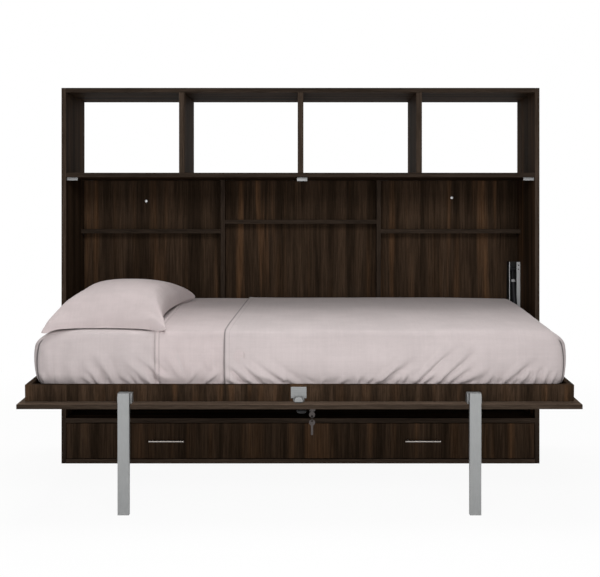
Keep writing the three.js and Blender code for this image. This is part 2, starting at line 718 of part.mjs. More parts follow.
// Drawer: one wide box behind one front
const drawer_gap = 3;
const drawer_front_bottom = base_top + drawer_gap;
const drawer_front_top = deck_bottom - drawer_gap;
const drawer_half = inner_half - drawer_gap;
const drawer_board = 15;
const drawer_floor = 6;
const drawer_floor_lift = 12;
const drawer_bottom_lift = 10;
const drawer_top_drop = 28;
const drawer_back_gap = 25.7;
const runner_width = 13;
const runner_height = 42;
const runner_board = 1.5;
const runner_start = 8;
const runner_stop = 7;
const runner_clearance = 0.8;
const box_front = front + board + seat;
const box_rear = back_board_face - drawer_back_gap;
const runner_front = box_front + runner_start;
const runner_rear = box_rear - runner_stop;
const box_bottom = drawer_front_bottom + drawer_bottom_lift;
const box_top = drawer_front_top - drawer_top_drop;
const box_outer = inner_half - runner_width - seat;
const box_inner = box_outer - drawer_board;
add(part, "drawer_front", block(-drawer_half, drawer_half, front, front + board,
  drawer_front_bottom, drawer_front_top), wood);
add(part, "drawer_back", block(-box_inner + seat, box_inner - seat, box_rear - drawer_board,
  box_rear, box_bottom, box_top), wood_edge);
const floor_z = box_bottom + drawer_floor_lift;
add(part, "drawer_bottom", block(-box_inner + seat, box_inner - seat, box_front,
  box_rear - drawer_board - seat, floor_z, floor_z + drawer_floor), wood_edge);

// Runners: a channel on each side panel and a bar on each drawer side that slides in it
const runner_z = (box_bottom + box_top) / 2;
function channel_runner(side) {
  const a = inner_half - seat;
  const b = a - runner_width / 2 - runner_board;
  const z0 = runner_z - runner_height / 2;
  const z1 = runner_z + runner_height / 2;
  const outline = [[b, z0], [a, z0], [a, z1], [b, z1], [b, z1 - runner_board],
    [a - runner_board, z1 - runner_board], [a - runner_board, z0 + runner_board],
    [b, z0 + runner_board]];
  const places = outline.map(([x, z]) => [side * x, z]);
  return drawn_y(side > 0 ? places : places.reverse(), runner_front, runner_rear);
}
function slide_bar(side) {
  const a = inner_half - seat - runner_board - runner_clearance;
  const b = box_inner + drawer_board / 2;
  const half = runner_height / 2 - runner_board - runner_clearance;
  return block(Math.min(side * a, side * b), Math.max(side * a, side * b), runner_front,
    runner_rear, runner_z - half, runner_z + half);
}
add(cabinet, "drawer_runner_left", channel_runner(-1), zinc);
add(cabinet, "drawer_runner_right", channel_runner(1), zinc);
for (const [label, side] of [["left", -1], ["right", 1]]) {
  const x0 = Math.min(side * box_outer, side * box_inner);
  const side_board = block(x0, x0 + drawer_board, box_front, box_rear, box_bottom, box_top);
  add(part, `drawer_side_${label}`, joined(side_board, slide_bar(side)), wood_edge);
}

// Bar handles with two posts each
const handle_length = 150;
const handle_radius = 4;
const handle_stand = 30;
const handle_post = 3;
const handle_post_inset = 14;
const handle_lift = 79;
const handle_left_inset = 429;
const handle_right_inset = 478;
const handle_height = drawer_front_bottom + handle_lift;
function handle(x) {
  const y = front - handle_stand;
  const half = handle_length / 2;
  const pieces = [rod_x(x - half, x + half, y, handle_height, handle_radius, 16)];
  for (const side of [-1, 1]) {
    const post_x = x + side * (half - handle_post_inset);
    pieces.push(rod_y(post_x, y, front - seat, handle_height, handle_post, 12));
  }
  return joined(...pieces);
}
add(part, "drawer_handle_left", handle(handle_left_inset - drawer_half), satin);
add(part, "drawer_handle_right", handle(drawer_half - handle_right_inset), satin);

// Soft pieces. A padded block is a box whose edges are rounded and whose faces swell or draw in.
function line_places(half, radius, corner_steps, steps) {
  const places = [];
  const flat = half - radius;
  for (let i = corner_steps; i >= 1; i -= 1) {
    places.push(-flat - radius * Math.tan((Math.PI / 4) * (i / corner_steps)));
  }
  for (let i = 0; i <= steps; i += 1) places.push(-flat + (2 * flat * i) / steps);
  for (let i = 1; i <= corner_steps; i += 1) {
    places.push(flat + radius * Math.tan((Math.PI / 4) * (i / corner_steps)));
  }
  return places;
}

function padded(half, radius, corner_steps, steps, shape) {
  const lines = [0, 1, 2].map((k) => line_places(half[k], radius, corner_steps, steps[k]));
  const counts = lines.map((line) => line.length - 1);
  const box = new THREE.BoxGeometry(1, 1, 1, counts[0], counts[1], counts[2]);
  box.deleteAttribute("normal");
  box.deleteAttribute("uv");
  const geometry = mergeVertices(box, 1e-4);
  const position = geometry.attributes.position;
  for (let i = 0; i < position.count; i += 1) {
    const raw = [position.getX(i), position.getY(i), position.getZ(i)];
    const p = raw.map((v, k) => lines[k][Math.round((v + 0.5) * counts[k])]);
    const core = p.map((v, k) => THREE.MathUtils.clamp(v, radius - half[k], half[k] - radius));
    const arm = new THREE.Vector3(p[0] - core[0], p[1] - core[1], p[2] - core[2]);
    arm.setLength(radius);
    const point = [core[0] + arm.x, core[1] + arm.y, core[2] + arm.z];
    const moved = shape(point, arm.divideScalar(radius));
    position.setXYZ(i, moved[0], moved[1], moved[2]);
  }
  const split = geometry.toNonIndexed();
  split.computeVertexNormals();
  return split;
}

function crown_share(a, b) {
  return (1 - a ** 6) * (1 - b ** 4);
}

// The mattress form at a distance outside its skin
const mattress_centre_y = (mattress_front + mattress_rear) / 2;
const mattress_centre_z = (mattress_bottom + mattress_top) / 2;
const mattress_corner_steps = 2;
const mattress_steps = [14, 8, 2];
function mattress_form(margin, relief) {
  const half = [mattress_half + margin, mattress_width / 2 + margin, mattress_height / 2 + margin];
  return padded(half, mattress_edge + margin, mattress_corner_steps, mattress_steps, (p, n) => {
    const a = p[0] / half[0];
    const b = p[1] / half[1];
    const c = p[2] / half[2];
    const crown = crown_share(a, b) * mattress_crown * Math.max(n.z, 0);
    const waist = (1 - c * c) * mattress_waist;
    const lift = relief(p, n);
    return [
      p[0] - waist * n.x + lift * n.x,
      p[1] + mattress_centre_y - waist * n.y + lift * n.y,
      p[2] + mattress_centre_z + crown + lift * Math.max(n.z, 0)];
  });
}
add(bed, "mattress", mattress_form(0, () => 0), cover);

// Bedclothes: thin shells over the mattress, open below and towards the pillow
const cloth_gap = 0.6;
const sheet_board = 2.4;
const coverlet_board = 3.4;
const cloth_hem = 20;
const coverlet_turn_back = 734;
const coverlet_front_turn_back = 688;
const sheet_turn_back = 442;
const coverlet_head = mattress_half - coverlet_turn_back;
const coverlet_foot = mattress_half - coverlet_front_turn_back;
const sheet_head = mattress_half - sheet_turn_back;
const fold_depth = 4;
const fold_pitch = 96;
const far = mattress_length;
function shell_between(thickness, relief, outline) {
  const outer = solid(mattress_form(cloth_gap + thickness, relief));
  const inner = solid(mattress_form(cloth_gap, () => 0));
  const zone = solid(drawn_z(outline, mattress_bottom + cloth_hem, mattress_top + far));
  return geometry_of(outer.subtract(inner).intersect(zone));
}
function drape_relief(p, n) {
  if (n.y > -0.5) return 0;
  const down = THREE.MathUtils.clamp(0.5 - p[2] / mattress_height, 0, 1);
  const wave = Math.sin((p[0] / fold_pitch) * 2 + down * 1.7);
  return fold_depth * (0.5 + 0.5 * wave) * down;
}
const coverlet_edge = [[-coverlet_foot, mattress_front - far], [far, mattress_front - far],
  [far, mattress_rear - mattress_edge], [-coverlet_head, mattress_rear - mattress_edge],
  [-coverlet_foot, mattress_front]];
add(bed, "coverlet", shell_between(coverlet_board, drape_relief, coverlet_edge), cover);
const sheet_gap = 1;
const sheet_edge = [[-sheet_head, mattress_front - far],
  [-coverlet_foot - sheet_gap, mattress_front - far], [-coverlet_foot - sheet_gap, mattress_front],
  [-coverlet_head - sheet_gap, mattress_rear - mattress_edge],
  [-sheet_head, mattress_rear - mattress_edge]];
add(bed, "top_sheet", shell_between(sheet_board, () => 0, sheet_edge), linen);

// Pillow: a dome over a nearly flat underside, thin seams, drawn-in sides and pointed corners
const pillow_length = 760;
const pillow_width = 452;
const pillow_rise = 124;
const pillow_belly = 12;
const pillow_seam = 12;
const pillow_end_gap = 31;
const pillow_front_gap = 4;
const pillow_turn = THREE.MathUtils.degToRad(-1.6);
const pillow_side_draw_share = 0.2;
const pillow_end_draw_share = 0.09;
const pillow_steps = [18, 24];
function pillow_swell(a, b) {
  const across = 1 - Math.abs(a) ** 2.4;
  const along = 1 - Math.abs(b) ** 1.9;
  return Math.max(across, 0) ** 0.3 * Math.max(along, 0) ** 0.45;
}
function pillow_form() {
  const box = new THREE.BoxGeometry(1, 1, 1, pillow_steps[0], pillow_steps[1], 2);
  box.deleteAttribute("normal");
  box.deleteAttribute("uv");
  const geometry = mergeVertices(box, 1e-4);
  const position = geometry.attributes.position;
  const seam = pillow_seam / 2;
  for (let i = 0; i < position.count; i += 1) {
    const a = Math.sin(position.getX(i) * Math.PI);
    const b = Math.sin(position.getY(i) * Math.PI);
    const c = position.getZ(i) * 2;
    const half_width_here = (pillow_width / 2) * (1 - pillow_side_draw_share * (1 - b * b));
    const half_length_here = (pillow_length / 2) * (1 - pillow_end_draw_share * (1 - a * a));
    const swell = c < 0 ? (pillow_belly - seam) * (1 - a * a) * (1 - b * b)
      : (pillow_rise - seam) * pillow_swell(a, b);
    position.setXYZ(i, a * half_width_here, b * half_length_here, c * (seam + swell));
  }
  const split = geometry.toNonIndexed();
  split.computeVertexNormals();
  return split;
}
const pillow = pillow_form();
const pillow_x = mattress_half - pillow_end_gap - pillow_width / 2;
const pillow_y = mattress_front + pillow_front_gap + pillow_length / 2;
const bed_under_pillow = mattress_top + mattress_crown
  * crown_share(pillow_x / mattress_half, (pillow_y - mattress_centre_y) * 2 / mattress_width);
pillow.rotateZ(pillow_turn);
pillow.translate(-pillow_x, pillow_y, bed_under_pillow + pillow_belly + seat);
add(bed, "pillow", pillow, linen);

export default part;
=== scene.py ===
"""Wall bed with a cabinet: finishes, bedclothes and a photo stage around the packed frame."""

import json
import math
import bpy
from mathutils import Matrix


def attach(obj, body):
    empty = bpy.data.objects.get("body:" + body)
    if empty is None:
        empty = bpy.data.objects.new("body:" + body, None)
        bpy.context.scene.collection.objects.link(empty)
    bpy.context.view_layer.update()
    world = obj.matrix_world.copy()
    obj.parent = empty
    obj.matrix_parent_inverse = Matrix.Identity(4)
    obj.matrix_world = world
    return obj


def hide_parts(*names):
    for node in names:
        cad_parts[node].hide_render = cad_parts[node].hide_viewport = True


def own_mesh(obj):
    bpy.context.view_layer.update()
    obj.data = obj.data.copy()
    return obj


bl_info = {
    "name": "Wall Bed",
    "version": (1, 0, 0),
    "blender": (4, 5, 0),
    "location": "View3D > Sidebar > Wall Bed",
    "description": "Finishes the boards, metal and bedclothes of a side-folding wall bed",
    "category": "Object",
}

import bmesh
import bpy
import numpy as np
from bpy.props import FloatProperty, FloatVectorProperty, IntProperty, PointerProperty
from bpy.types import Operator, Panel, PropertyGroup
from mathutils import Matrix, Vector, noise

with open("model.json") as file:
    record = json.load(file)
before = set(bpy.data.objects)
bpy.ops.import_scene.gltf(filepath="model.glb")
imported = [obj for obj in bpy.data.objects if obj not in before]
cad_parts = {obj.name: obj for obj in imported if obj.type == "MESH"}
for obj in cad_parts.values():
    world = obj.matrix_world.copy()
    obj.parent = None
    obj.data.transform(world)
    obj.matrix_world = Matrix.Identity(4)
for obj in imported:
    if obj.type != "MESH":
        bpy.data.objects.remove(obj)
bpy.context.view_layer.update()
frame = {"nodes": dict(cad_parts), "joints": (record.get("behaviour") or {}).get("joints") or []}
NODES = frame["nodes"]


def joint(name):
    """The record's joint of that name."""
    return next(j for j in frame["joints"] if j["name"] == name)


# The open bed slopes down to its legs: bed space has its origin on the pivot line,
# X along the bed, Y towards the cabinet's back and Z square to the face panel.
KEY_AXIS = joint("key_turn")["axis"]
BED_SLOPE = math.atan2(-KEY_AXIS[1], KEY_AXIS[2])
BED_SPACE = Matrix.Translation(joint("bed_tilt")["pos_m"]) @ Matrix.Rotation(BED_SLOPE, 4, "X")


def bed_box(node):
    """Lowest and highest corner of a node in bed space."""
    back = BED_SPACE.inverted()
    points = np.array([back @ v.co for v in NODES[node].data.vertices])
    return points.min(0), points.max(0)


MATTRESS_LOW, MATTRESS_HIGH = bed_box("mattress")
PILLOW_LOW, PILLOW_HIGH = bed_box("pillow")
COVERLET_LOW = bed_box("coverlet")[0]
SHEET_LOW, SHEET_HIGH = bed_box("top_sheet")
RAIL_HIGH = bed_box("front_rail")[1]
MATTRESS_CENTRE = (MATTRESS_LOW + MATTRESS_HIGH) / 2
MATTRESS_SIZE = MATTRESS_HIGH - MATTRESS_LOW
MATTRESS_HALF = MATTRESS_SIZE / 2

# ---------------------------------------------------------------- settings


def number(name, description, default, **more):
    """A number, with its unit, subtype or limits in more."""
    return FloatProperty(name=name, description=description, default=default, **more)


def length(name, description, default, low, high):
    """A length in metres between two limits."""
    return number(name, description, default, unit="LENGTH", precision=4, min=low, max=high)


def share(name, description, default):
    """A share from 0 to 1."""
    return number(name, description, default, subtype="FACTOR", min=0, max=1)


def colour(name, description, default):
    """A colour."""
    return FloatVectorProperty(
        name=name, description=description, default=default, subtype="COLOR", size=3, min=0, max=1
    )


class WALLBED_PG_boards(PropertyGroup):
    """Colours and grain of the laminated boards."""

    dark: colour("Dark grain", "Colour of the darkest bands", (0.023, 0.0145, 0.0090))
    middle: colour("Middle grain", "Colour of the bands between", (0.052, 0.0320, 0.0200))
    streak: colour("Streak", "Colour of the orange brown streaks", (0.108, 0.056, 0.0280))
    edging: colour("Edging", "Colour of the narrow front edges", (0.034, 0.0240, 0.0175))
    band_width: length("Band width", "Width of one dark or light band", 0.046, 0.01, 0.2)
    bevel: length("Edge round", "Rounding of the boards' edges", 0.0009, 0.0002, 0.004)
    satin: share("Roughness", "Roughness of the satin laminate", 0.58)
    # Painted highlight: how many times lighter than its edging the bed face's upward faces are
    ledge: number("Ledge", "How much lighter the bed face's inner side is", 3.0, min=0)


class WALLBED_PG_metal(PropertyGroup):
    """Colours of the fittings."""

    satin: colour("Satin grey", "Colour of legs, brackets and lock", (0.255, 0.260, 0.260))
    zinc: colour("Zinc", "Colour of the plated fittings", (0.40, 0.405, 0.41))
    handle: colour("Handle", "Colour of the drawer's bar handles", (0.30, 0.275, 0.255))
    # Far darker than nickel's own tone: painted shade on barrel and keys
    chrome: colour("Nickel", "Colour of barrel and keys", (0.060, 0.052, 0.050))
    black: colour("Black", "Colour of the gas strut and the knob", (0.012, 0.012, 0.014))
    collar: length("Collar", "Height of the strut's bright collar", 0.013, 0.002, 0.04)
    channel_foot: length("Channel foot", "Length of channel behind the mattress", 0.070, 0, 0.1)
    bevel: length("Edge round", "Rounding of the fittings' edges", 0.0005, 0.0001, 0.002)


class WALLBED_PG_slats(PropertyGroup):
    """Finish of the unseen slatted base."""

    light: colour("Light grain", "Colour of the beech between its pores", (0.52, 0.37, 0.21))
    deep: colour("Deep grain", "Colour of the beech's grain lines", (0.36, 0.23, 0.12))


class WALLBED_PG_cloth(PropertyGroup):
    """Colours and sizes of the bedclothes."""

    cover: colour("Cover", "Colour of fitted sheet and coverlet", (0.500, 0.439, 0.436))
    linen: colour("Linen", "Colour of top sheet and pillow case", (0.510, 0.439, 0.436))
    thickness: length("Cloth", "Thickness of the bedclothes", 0.0016, 0.0005, 0.005)
    edge_round: length("Mattress edge", "Rounding of the mattress's ends", 0.046, 0.01, 0.1)
    long_round: length("Long edge", "Rounding of the mattress's long edges", 0.022, 0.01, 0.1)
    crown: length("Crown", "Rise of the mattress's top in its middle", 0.007, 0, 0.02)
    swell: length("Swell", "How far the ends stand out at mid height", 0.018, 0, 0.03)
    front_swell: length("Front swell", "How far the front stands out", 0.012, 0, 0.03)
    tuck: length("Tuck", "How far the front is drawn in behind the rail", 0.005, 0, 0.02)
    shoulder: length("Shoulder", "How far the top falls towards its ends", 0.014, 0, 0.04)
    grid: length("Grid", "Distance between the bedclothes' points", 0.0085, 0.004, 0.03)
    slant: length("Slant", "How far the coverlet's edge runs back", 0.046, 0, 0.1)
    crease_turn: number(
        "Crease turn", "How far round its corner the lapped fold lies", 0.80, unit="ROTATION"
    )
    fold_gain: number("Fold depth", "Depth of all folds", 1.7, min=0, max=3)


class WALLBED_PG_pillow(PropertyGroup):
    """Shape of the pillow."""

    grid: length("Grid", "Distance between the pillow's points", 0.0095, 0.005, 0.03)
    seam: length("Seam", "Thickness of the sewn edge", 0.005, 0.001, 0.02)
    belly: length("Belly", "Depth of the underside below the seam", 0.012, 0, 0.04)
    side_draw: share("Side draw", "How far the long sides are drawn in", 0.20)
    end_draw: share("End draw", "How far the short ends are drawn in", 0.09)
    turn: number("Turn", "Turn of the pillow on the bed", -0.028, unit="ROTATION")
    growth: share("Growth", "How much larger the case is cut than its filling", 0.035)
    pressure: number("Pressure", "Pressure that fills the pillow", 1.5, min=0.1, max=12)
    frames: IntProperty(name="Frames", description="Frames of filling", default=22, min=4, max=60)
    travel: length("Travel", "How far the filling may move the case", 0.016, 0, 0.05)
    gather: length("Gathers", "Depth of the creases at the corners", 0.0022, 0, 0.006)
    lift: length("Corner lift", "Height of the inner front corner", 0.014, 0, 0.03)


class WALLBED_PG_stage(PropertyGroup):
    """Camera and light."""

    eye: FloatVectorProperty(
        name="Eye", description="Place of the camera", default=(0.021, -4.440, 1.031), unit="LENGTH"
    )
    lens: number("Lens", "Focal length", 59.9, unit="CAMERA")
    shift_x: number("Shift X", "Sideways shift of the lens", -0.009)
    shift_y: number("Shift Y", "Upright shift of the lens", -0.111)
    top: number("Top", "Power of the overhead lamp", 110.0, unit="POWER")
    near: number("Near", "Power of the near lamp", 39.0, unit="POWER")
    front: number("Front", "Power of the low front lamp", 56.0, unit="POWER")
    ambient: number("Room", "Strength of the room's light", 0.20)


# ---------------------------------------------------------------- shader graphs


class Graph:
    """Short names for making nodes in one tree."""

    def __init__(self, tree):
        self.tree = tree
        self.column = 0

    def add(self, kind, **values):
        """A new node with these settings."""
        node = self.tree.nodes.new(kind)
        self.column += 1
        node.location = (self.column * 180, -(self.column % 4) * 160)
        for name, value in values.items():
            setattr(node, name, value)
        return node

    def put(self, value, socket):
        """A link where value is a socket, and the socket's own value otherwise."""
        if isinstance(value, bpy.types.NodeSocket):
            self.tree.links.new(value, socket)
        elif socket.type == "RGBA":
            socket.default_value = (*value[:3], 1.0)
        else:
            socket.default_value = value

    def fill(self, sockets, values):
        """Puts each value on the socket of its name or number."""
        for name, value in values.items():
            self.put(value, sockets[name])

    def made(self, kind, inputs, **values):
        """The outputs of a new node with these inputs and settings."""
        node = self.add(kind, **values)
        self.fill(node.inputs, inputs)
        return node.outputs

    def math(self, operation, a, b=None, clamp=False):
        inputs = {0: a} if b is None else {0: a, 1: b}
        return self.made("ShaderNodeMath", inputs, operation=operation, use_clamp=clamp)[0]

    def plus(self, a, b, clamp=False):
        return self.math("ADD", a, b, clamp)

    def times(self, a, b, clamp=False):
        return self.math("MULTIPLY", a, b, clamp)

    def apart(self, a, b):
        """How far two numbers lie apart."""
        return self.math("ABSOLUTE", self.math("SUBTRACT", a, b))

    def mapped(self, vector, scale=(1, 1, 1), location=(0, 0, 0), rotation=(0, 0, 0)):
        values = {"Vector": vector, "Scale": scale, "Location": location, "Rotation": rotation}
        return self.made("ShaderNodeMapping", values)[0]

    def noise(self, vector, scale, detail=2.0, roughness=0.5, distortion=0.0):
        values = {"Vector": vector, "Scale": scale, "Detail": detail, "Roughness": roughness}
        return self.made("ShaderNodeTexNoise", {**values, "Distortion": distortion})["Fac"]

    def range(self, value, low, high, to_low=0.0, to_high=1.0):
        """A soft step from to_low at low to to_high at high."""
        values = {"Value": value, "From Min": low, "From Max": high}
        values.update({"To Min": to_low, "To Max": to_high})
        step = {"interpolation_type": "SMOOTHSTEP"}
        return self.made("ShaderNodeMapRange", values, **step)["Result"]

    def fade(self, value, near, far, strength=1.0):
        """A soft step from strength at near down to 0 at far."""
        return self.range(value, near, far, strength, 0.0)

    def mix(self, factor, a, b):
        return self.made("ShaderNodeMix", {0: factor, 6: a, 7: b}, data_type="RGBA")[2]

    def scale(self, colour, factor):
        """A colour made lighter or darker."""
        values = {0: colour, "Scale": factor}
        return self.made("ShaderNodeVectorMath", values, operation="SCALE")[0]

    def split(self, vector):
        return self.made("ShaderNodeSeparateXYZ", {0: vector})

    def place(self):
        """The piece's own coordinates, which are the room's when the bed is open."""
        return self.add("ShaderNodeTexCoord").outputs["Object"]

    def normal(self):
        return self.add("ShaderNodeTexCoord").outputs["Normal"]

    def attribute(self, name):
        return self.add("ShaderNodeAttribute", attribute_name=name).outputs["Fac"]

    def bump(self, height, strength, distance):
        values = {"Strength": strength, "Distance": distance, "Height": height}
        return self.made("ShaderNodeBump", values)["Normal"]

    def group(self, build, **values):
        """A node of the shared group that build makes on first use."""
        name = build.__name__.replace("_", " ").capitalize()
        tree = bpy.data.node_groups.get(name) or build(name)
        return self.made("ShaderNodeGroup", values, node_tree=tree)


SOCKET_KINDS = {"Vector": "NodeSocketVector", "Color": "NodeSocketColor"}


def new_group(name, inputs, outputs):
    """An empty shader group. Titles that end in Color or Vector give colours and vectors."""
    tree = bpy.data.node_groups.new(name, "ShaderNodeTree")
    for way, titles in (("INPUT", inputs), ("OUTPUT", outputs)):
        for title in titles:
            kind = SOCKET_KINDS.get(title.split()[-1], "NodeSocketFloat")
            tree.interface.new_socket(title, in_out=way, socket_type=kind)
    graph = Graph(tree)
    return graph, graph.add("NodeGroupInput").outputs, graph.add("NodeGroupOutput").inputs


def board_grain(name):
    """Laminate grain along the vector's Z: broad bands, orange streaks and fine pores."""
    inputs = ("Vector", "Dark Color", "Middle Color", "Streak Color", "Bands", "Streaks")
    g, given, out = new_group(name, inputs, ("Color", "Height", "Roughness"))
    along = g.mapped(given["Vector"], scale=(1, 1, 0.035))
    spread = g.made("ShaderNodeCombineXYZ", {axis: given["Bands"] for axis in "XYZ"})[0]
    banded = g.made("ShaderNodeVectorMath", {0: along, 1: spread}, operation="MULTIPLY")[0]
    bands = g.range(g.noise(banded, 1.0, 3.0, 0.55, 0.25), 0.36, 0.66)
    broad = g.range(g.noise(g.mapped(banded, location=(7, 3, 1)), 0.32, 1.0), 0.35, 0.65)
    moved = g.mapped(banded, location=(3, 11, 5))
    streaks = g.range(g.noise(moved, 0.95, 2.0, 0.5, 0.1), 0.50, 0.72)
    lines = g.noise(banded, 9.0, 4.0, 0.7)
    pores = g.noise(g.mapped(given["Vector"], scale=(1, 1, 0.02)), 1500.0, 2.0, 0.6)
    body = g.mix(bands, given["Dark Color"], given["Middle Color"])
    amount = g.times(g.times(streaks, given["Streaks"]), g.range(broad, 0, 1, 0.35, 1.0))
    body = g.mix(amount, body, given["Streak Color"])
    tone = g.times(g.range(lines, 0.3, 0.7, 0.62, 1.32), g.range(pores, 0.35, 0.65, 0.9, 1.08))
    values = {
        "Color": g.scale(body, tone),
        "Height": g.plus(lines, g.times(pores, 0.6)),
        "Roughness": g.range(lines, 0.3, 0.7, -0.05, 0.07),
    }
    g.fill(out, values)
    return g.tree


def cotton_weave(name):
    """Woven cotton: threads both ways, slubs and a soft mottle."""
    g, given, out = new_group(name, ("Vector", "Color", "Slub"), ("Color", "Height"))
    place = given["Vector"]
    warp, weft = (g.mapped(place, scale=stretch) for stretch in ((0.02, 1, 1), (1, 0.02, 0.02)))
    threads = g.plus(g.noise(warp, 1500, 1.0), g.noise(weft, 1500, 1.0))
    slubs = [
        g.range(g.noise(g.mapped(place, scale=stretch), size, 2.0, 0.6), 0.3, 0.7)
        for stretch, size in (((0.03, 1, 1), 110), ((1, 0.03, 0.03), 130))
    ]
    slubs = g.plus(*slubs)
    mottle = g.range(g.noise(place, 7.0, 3.0, 0.6), 0.3, 0.7)
    tone = g.plus(
        g.times(g.math("SUBTRACT", slubs, 1.0), g.times(given["Slub"], 0.028)),
        g.range(mottle, 0, 1, 0.965, 1.035),
    )
    tone = g.plus(tone, g.range(threads, 0.7, 1.3, -0.03, 0.03))
    g.put(g.scale(given["Color"], tone), out["Color"])
    g.put(g.plus(threads, g.times(slubs, 0.5)), out["Height"])
    return g.tree


def metal_brush(name):
    """Brushed metal: fine scratches along the vector's X, and faint smudges."""
    outputs = ("Color", "Roughness", "Height")
    g, given, out = new_group(name, ("Vector", "Color", "Roughness"), outputs)
    scratches = g.noise(g.mapped(given["Vector"], scale=(0.02, 1, 1)), 1800, 3.0, 0.7)
    smudges = g.range(g.noise(given["Vector"], 28, 3.0, 0.6), 0.35, 0.7)
    tone = g.plus(g.range(scratches, 0.3, 0.7, 0.9, 1.06), g.times(smudges, 0.04))
    rough = g.plus(given["Roughness"], g.range(scratches, 0.3, 0.7, -0.06, 0.08))
    g.put(g.scale(given["Color"], tone), out["Color"])
    g.put(g.plus(rough, g.times(smudges, 0.06), clamp=True), out["Roughness"])
    g.put(scratches, out["Height"])
    return g.tree


def lint(name):
    """Faint dust and handling marks, as a mask."""
    g, given, out = new_group(name, ("Vector", "Amount"), ("Mask",))
    cloud = g.range(g.noise(given["Vector"], 9.0, 5.0, 0.65), 0.45, 0.75)
    specks = g.range(g.noise(given["Vector"], 420.0, 2.0, 0.5), 0.66, 0.74)
    total = g.plus(cloud, g.times(specks, 0.6))
    g.put(g.times(total, given["Amount"], clamp=True), out["Mask"])
    return g.tree


def new_material(name):
    """A material with its graph and the inputs of its Principled shader."""
    made = bpy.data.materials.new(name)
    made.use_nodes = True
    made.node_tree.nodes.clear()
    graph = Graph(made.node_tree)
    shader = graph.add("ShaderNodeBsdfPrincipled")
    graph.made("ShaderNodeOutputMaterial", {"Surface": shader.outputs[0]})
    return made, graph, shader.inputs


def scaled(tone, factor):
    """A colour made lighter or darker."""
    return tuple(c * factor for c in tone)


# Turns that bring the grain's direction to Z, or scratches to X
UPRIGHT = (0, 0, 0)
SIDEWAYS = (0, math.pi / 2, 0)
LENGTHWAYS = (math.pi / 2, 0, 0)

BOARD_DUST, METAL_DUST = (0.16, 0.14, 0.12), (0.4, 0.39, 0.37)
EDGING_TONES = (0.72, 1.0, 1.35)  # dark, middle and streak, as factors of the edging's colour
BOARD_SHINE, BLACK_SHINE = 0.004, 0.12
BOARD_RELIEF, METAL_RELIEF, CLOTH_RELIEF = 0.0004, 0.0002, 0.0005  # depth in metres
SATIN_ROUGH = 0.42


def board_material(name, boards, turn, edging, streaks, body, light, offset, ledge=False):
    """Dark laminate. turn brings the grain's direction to Z and edging turns that of the lighter
    front edge, whose tone the bed face also takes on its upper side, lightened there as a painted
    highlight. body and light scale the two tones, lightening and darkening copies of the one
    laminate as painted light and shade."""
    made, g, shader = new_material(name)

    def grained(turn, tones, bands, streaks):
        titles = ("Dark Color", "Middle Color", "Streak Color")
        vector = g.mapped(g.place(), rotation=turn, location=offset)
        values = {**dict(zip(titles, tones)), "Bands": bands / boards.band_width}
        return g.group(board_grain, Vector=vector, Streaks=streaks, **values)

    # body lightens or darkens this copy of the laminate, as painted light and shade
    tones = [scaled(tone, body) for tone in (boards.dark, boards.middle, boards.streak)]
    grain = grained(turn, tones, 1.0, streaks)
    tone = grain["Color"]
    if edging is not None:
        # light lightens the edging of boards in shade, as painted light
        tones = [scaled(boards.edging, factor * light) for factor in EDGING_TONES]
        strip = grained(edging, tones, 2.0, 0.6)["Color"]
        facing = g.split(g.normal())
        tone = g.mix(g.fade(facing["Y"], -0.9, -0.6), tone, strip)
        if ledge:
            # Painted highlight: the upward faces take the edging's tone made several times lighter
            tone = g.mix(g.range(facing["Z"], 0.8, 0.95), tone, g.scale(strip, boards.ledge))
    dust = g.group(lint, Vector=g.place(), Amount=0.015)["Mask"]
    values = {
        "Base Color": g.mix(dust, tone, BOARD_DUST),
        "Roughness": g.plus(grain["Roughness"], boards.satin, clamp=True),
        "Specular IOR Level": BOARD_SHINE,
        "Normal": g.bump(grain["Height"], 0.12, BOARD_RELIEF),
    }
    g.fill(shader, values)
    return made


def brushed(g, shader, tone, roughness, turn, bump=0.08, coarse=1.0):
    """Puts brushed metal's roughness and scratches on a shader, and returns its colour."""
    vector = g.mapped(g.place(), rotation=turn, scale=(coarse,) * 3)
    metal = g.group(metal_brush, Vector=vector, Color=tone, Roughness=roughness)
    g.put(metal["Roughness"], shader["Roughness"])
    g.put(g.bump(metal["Height"], bump, METAL_RELIEF), shader["Normal"])
    return metal["Color"]


def metal_material(name, tone, roughness, metallic, turn=UPRIGHT, bump=0.08, shine=0.5, coarse=1.0):
    """Brushed or plated metal, its scratches along X after the turn. Coarse below 1 widens them."""
    made, g, shader = new_material(name)
    tone = brushed(g, shader, tone, roughness, turn, bump, coarse)
    dust = g.group(lint, Vector=g.place(), Amount=0.05)["Mask"]
    tone = g.mix(dust, tone, METAL_DUST)
    g.fill(shader, {"Base Color": tone, "Specular IOR Level": shine, "Metallic": metallic})
    return made


COLLAR_BLUR = 0.002
CHANNEL_FACE = (0.001, 0.005)  # behind the channel's front edges the zinc turns dull and is painted dark as shade
CHANNEL_SHADE = 0.03  # tone of the inside, as a factor of the zinc's


def strut_material(name, metal):
    """Black with a bright collar round the top of the cylinder."""
    made, g, shader = new_material(name)
    start = max(v.co.z for v in NODES["strut_cylinder"].data.vertices) - metal.collar
    collar = g.range(g.split(g.place())["Z"], start, start + COLLAR_BLUR)
    tone = g.mix(collar, metal.black, scaled(metal.zinc, 0.8))
    tone = brushed(g, shader, tone, SATIN_ROUGH, SIDEWAYS)
    g.fill(shader, {"Base Color": tone, "Specular IOR Level": BLACK_SHINE})
    return made


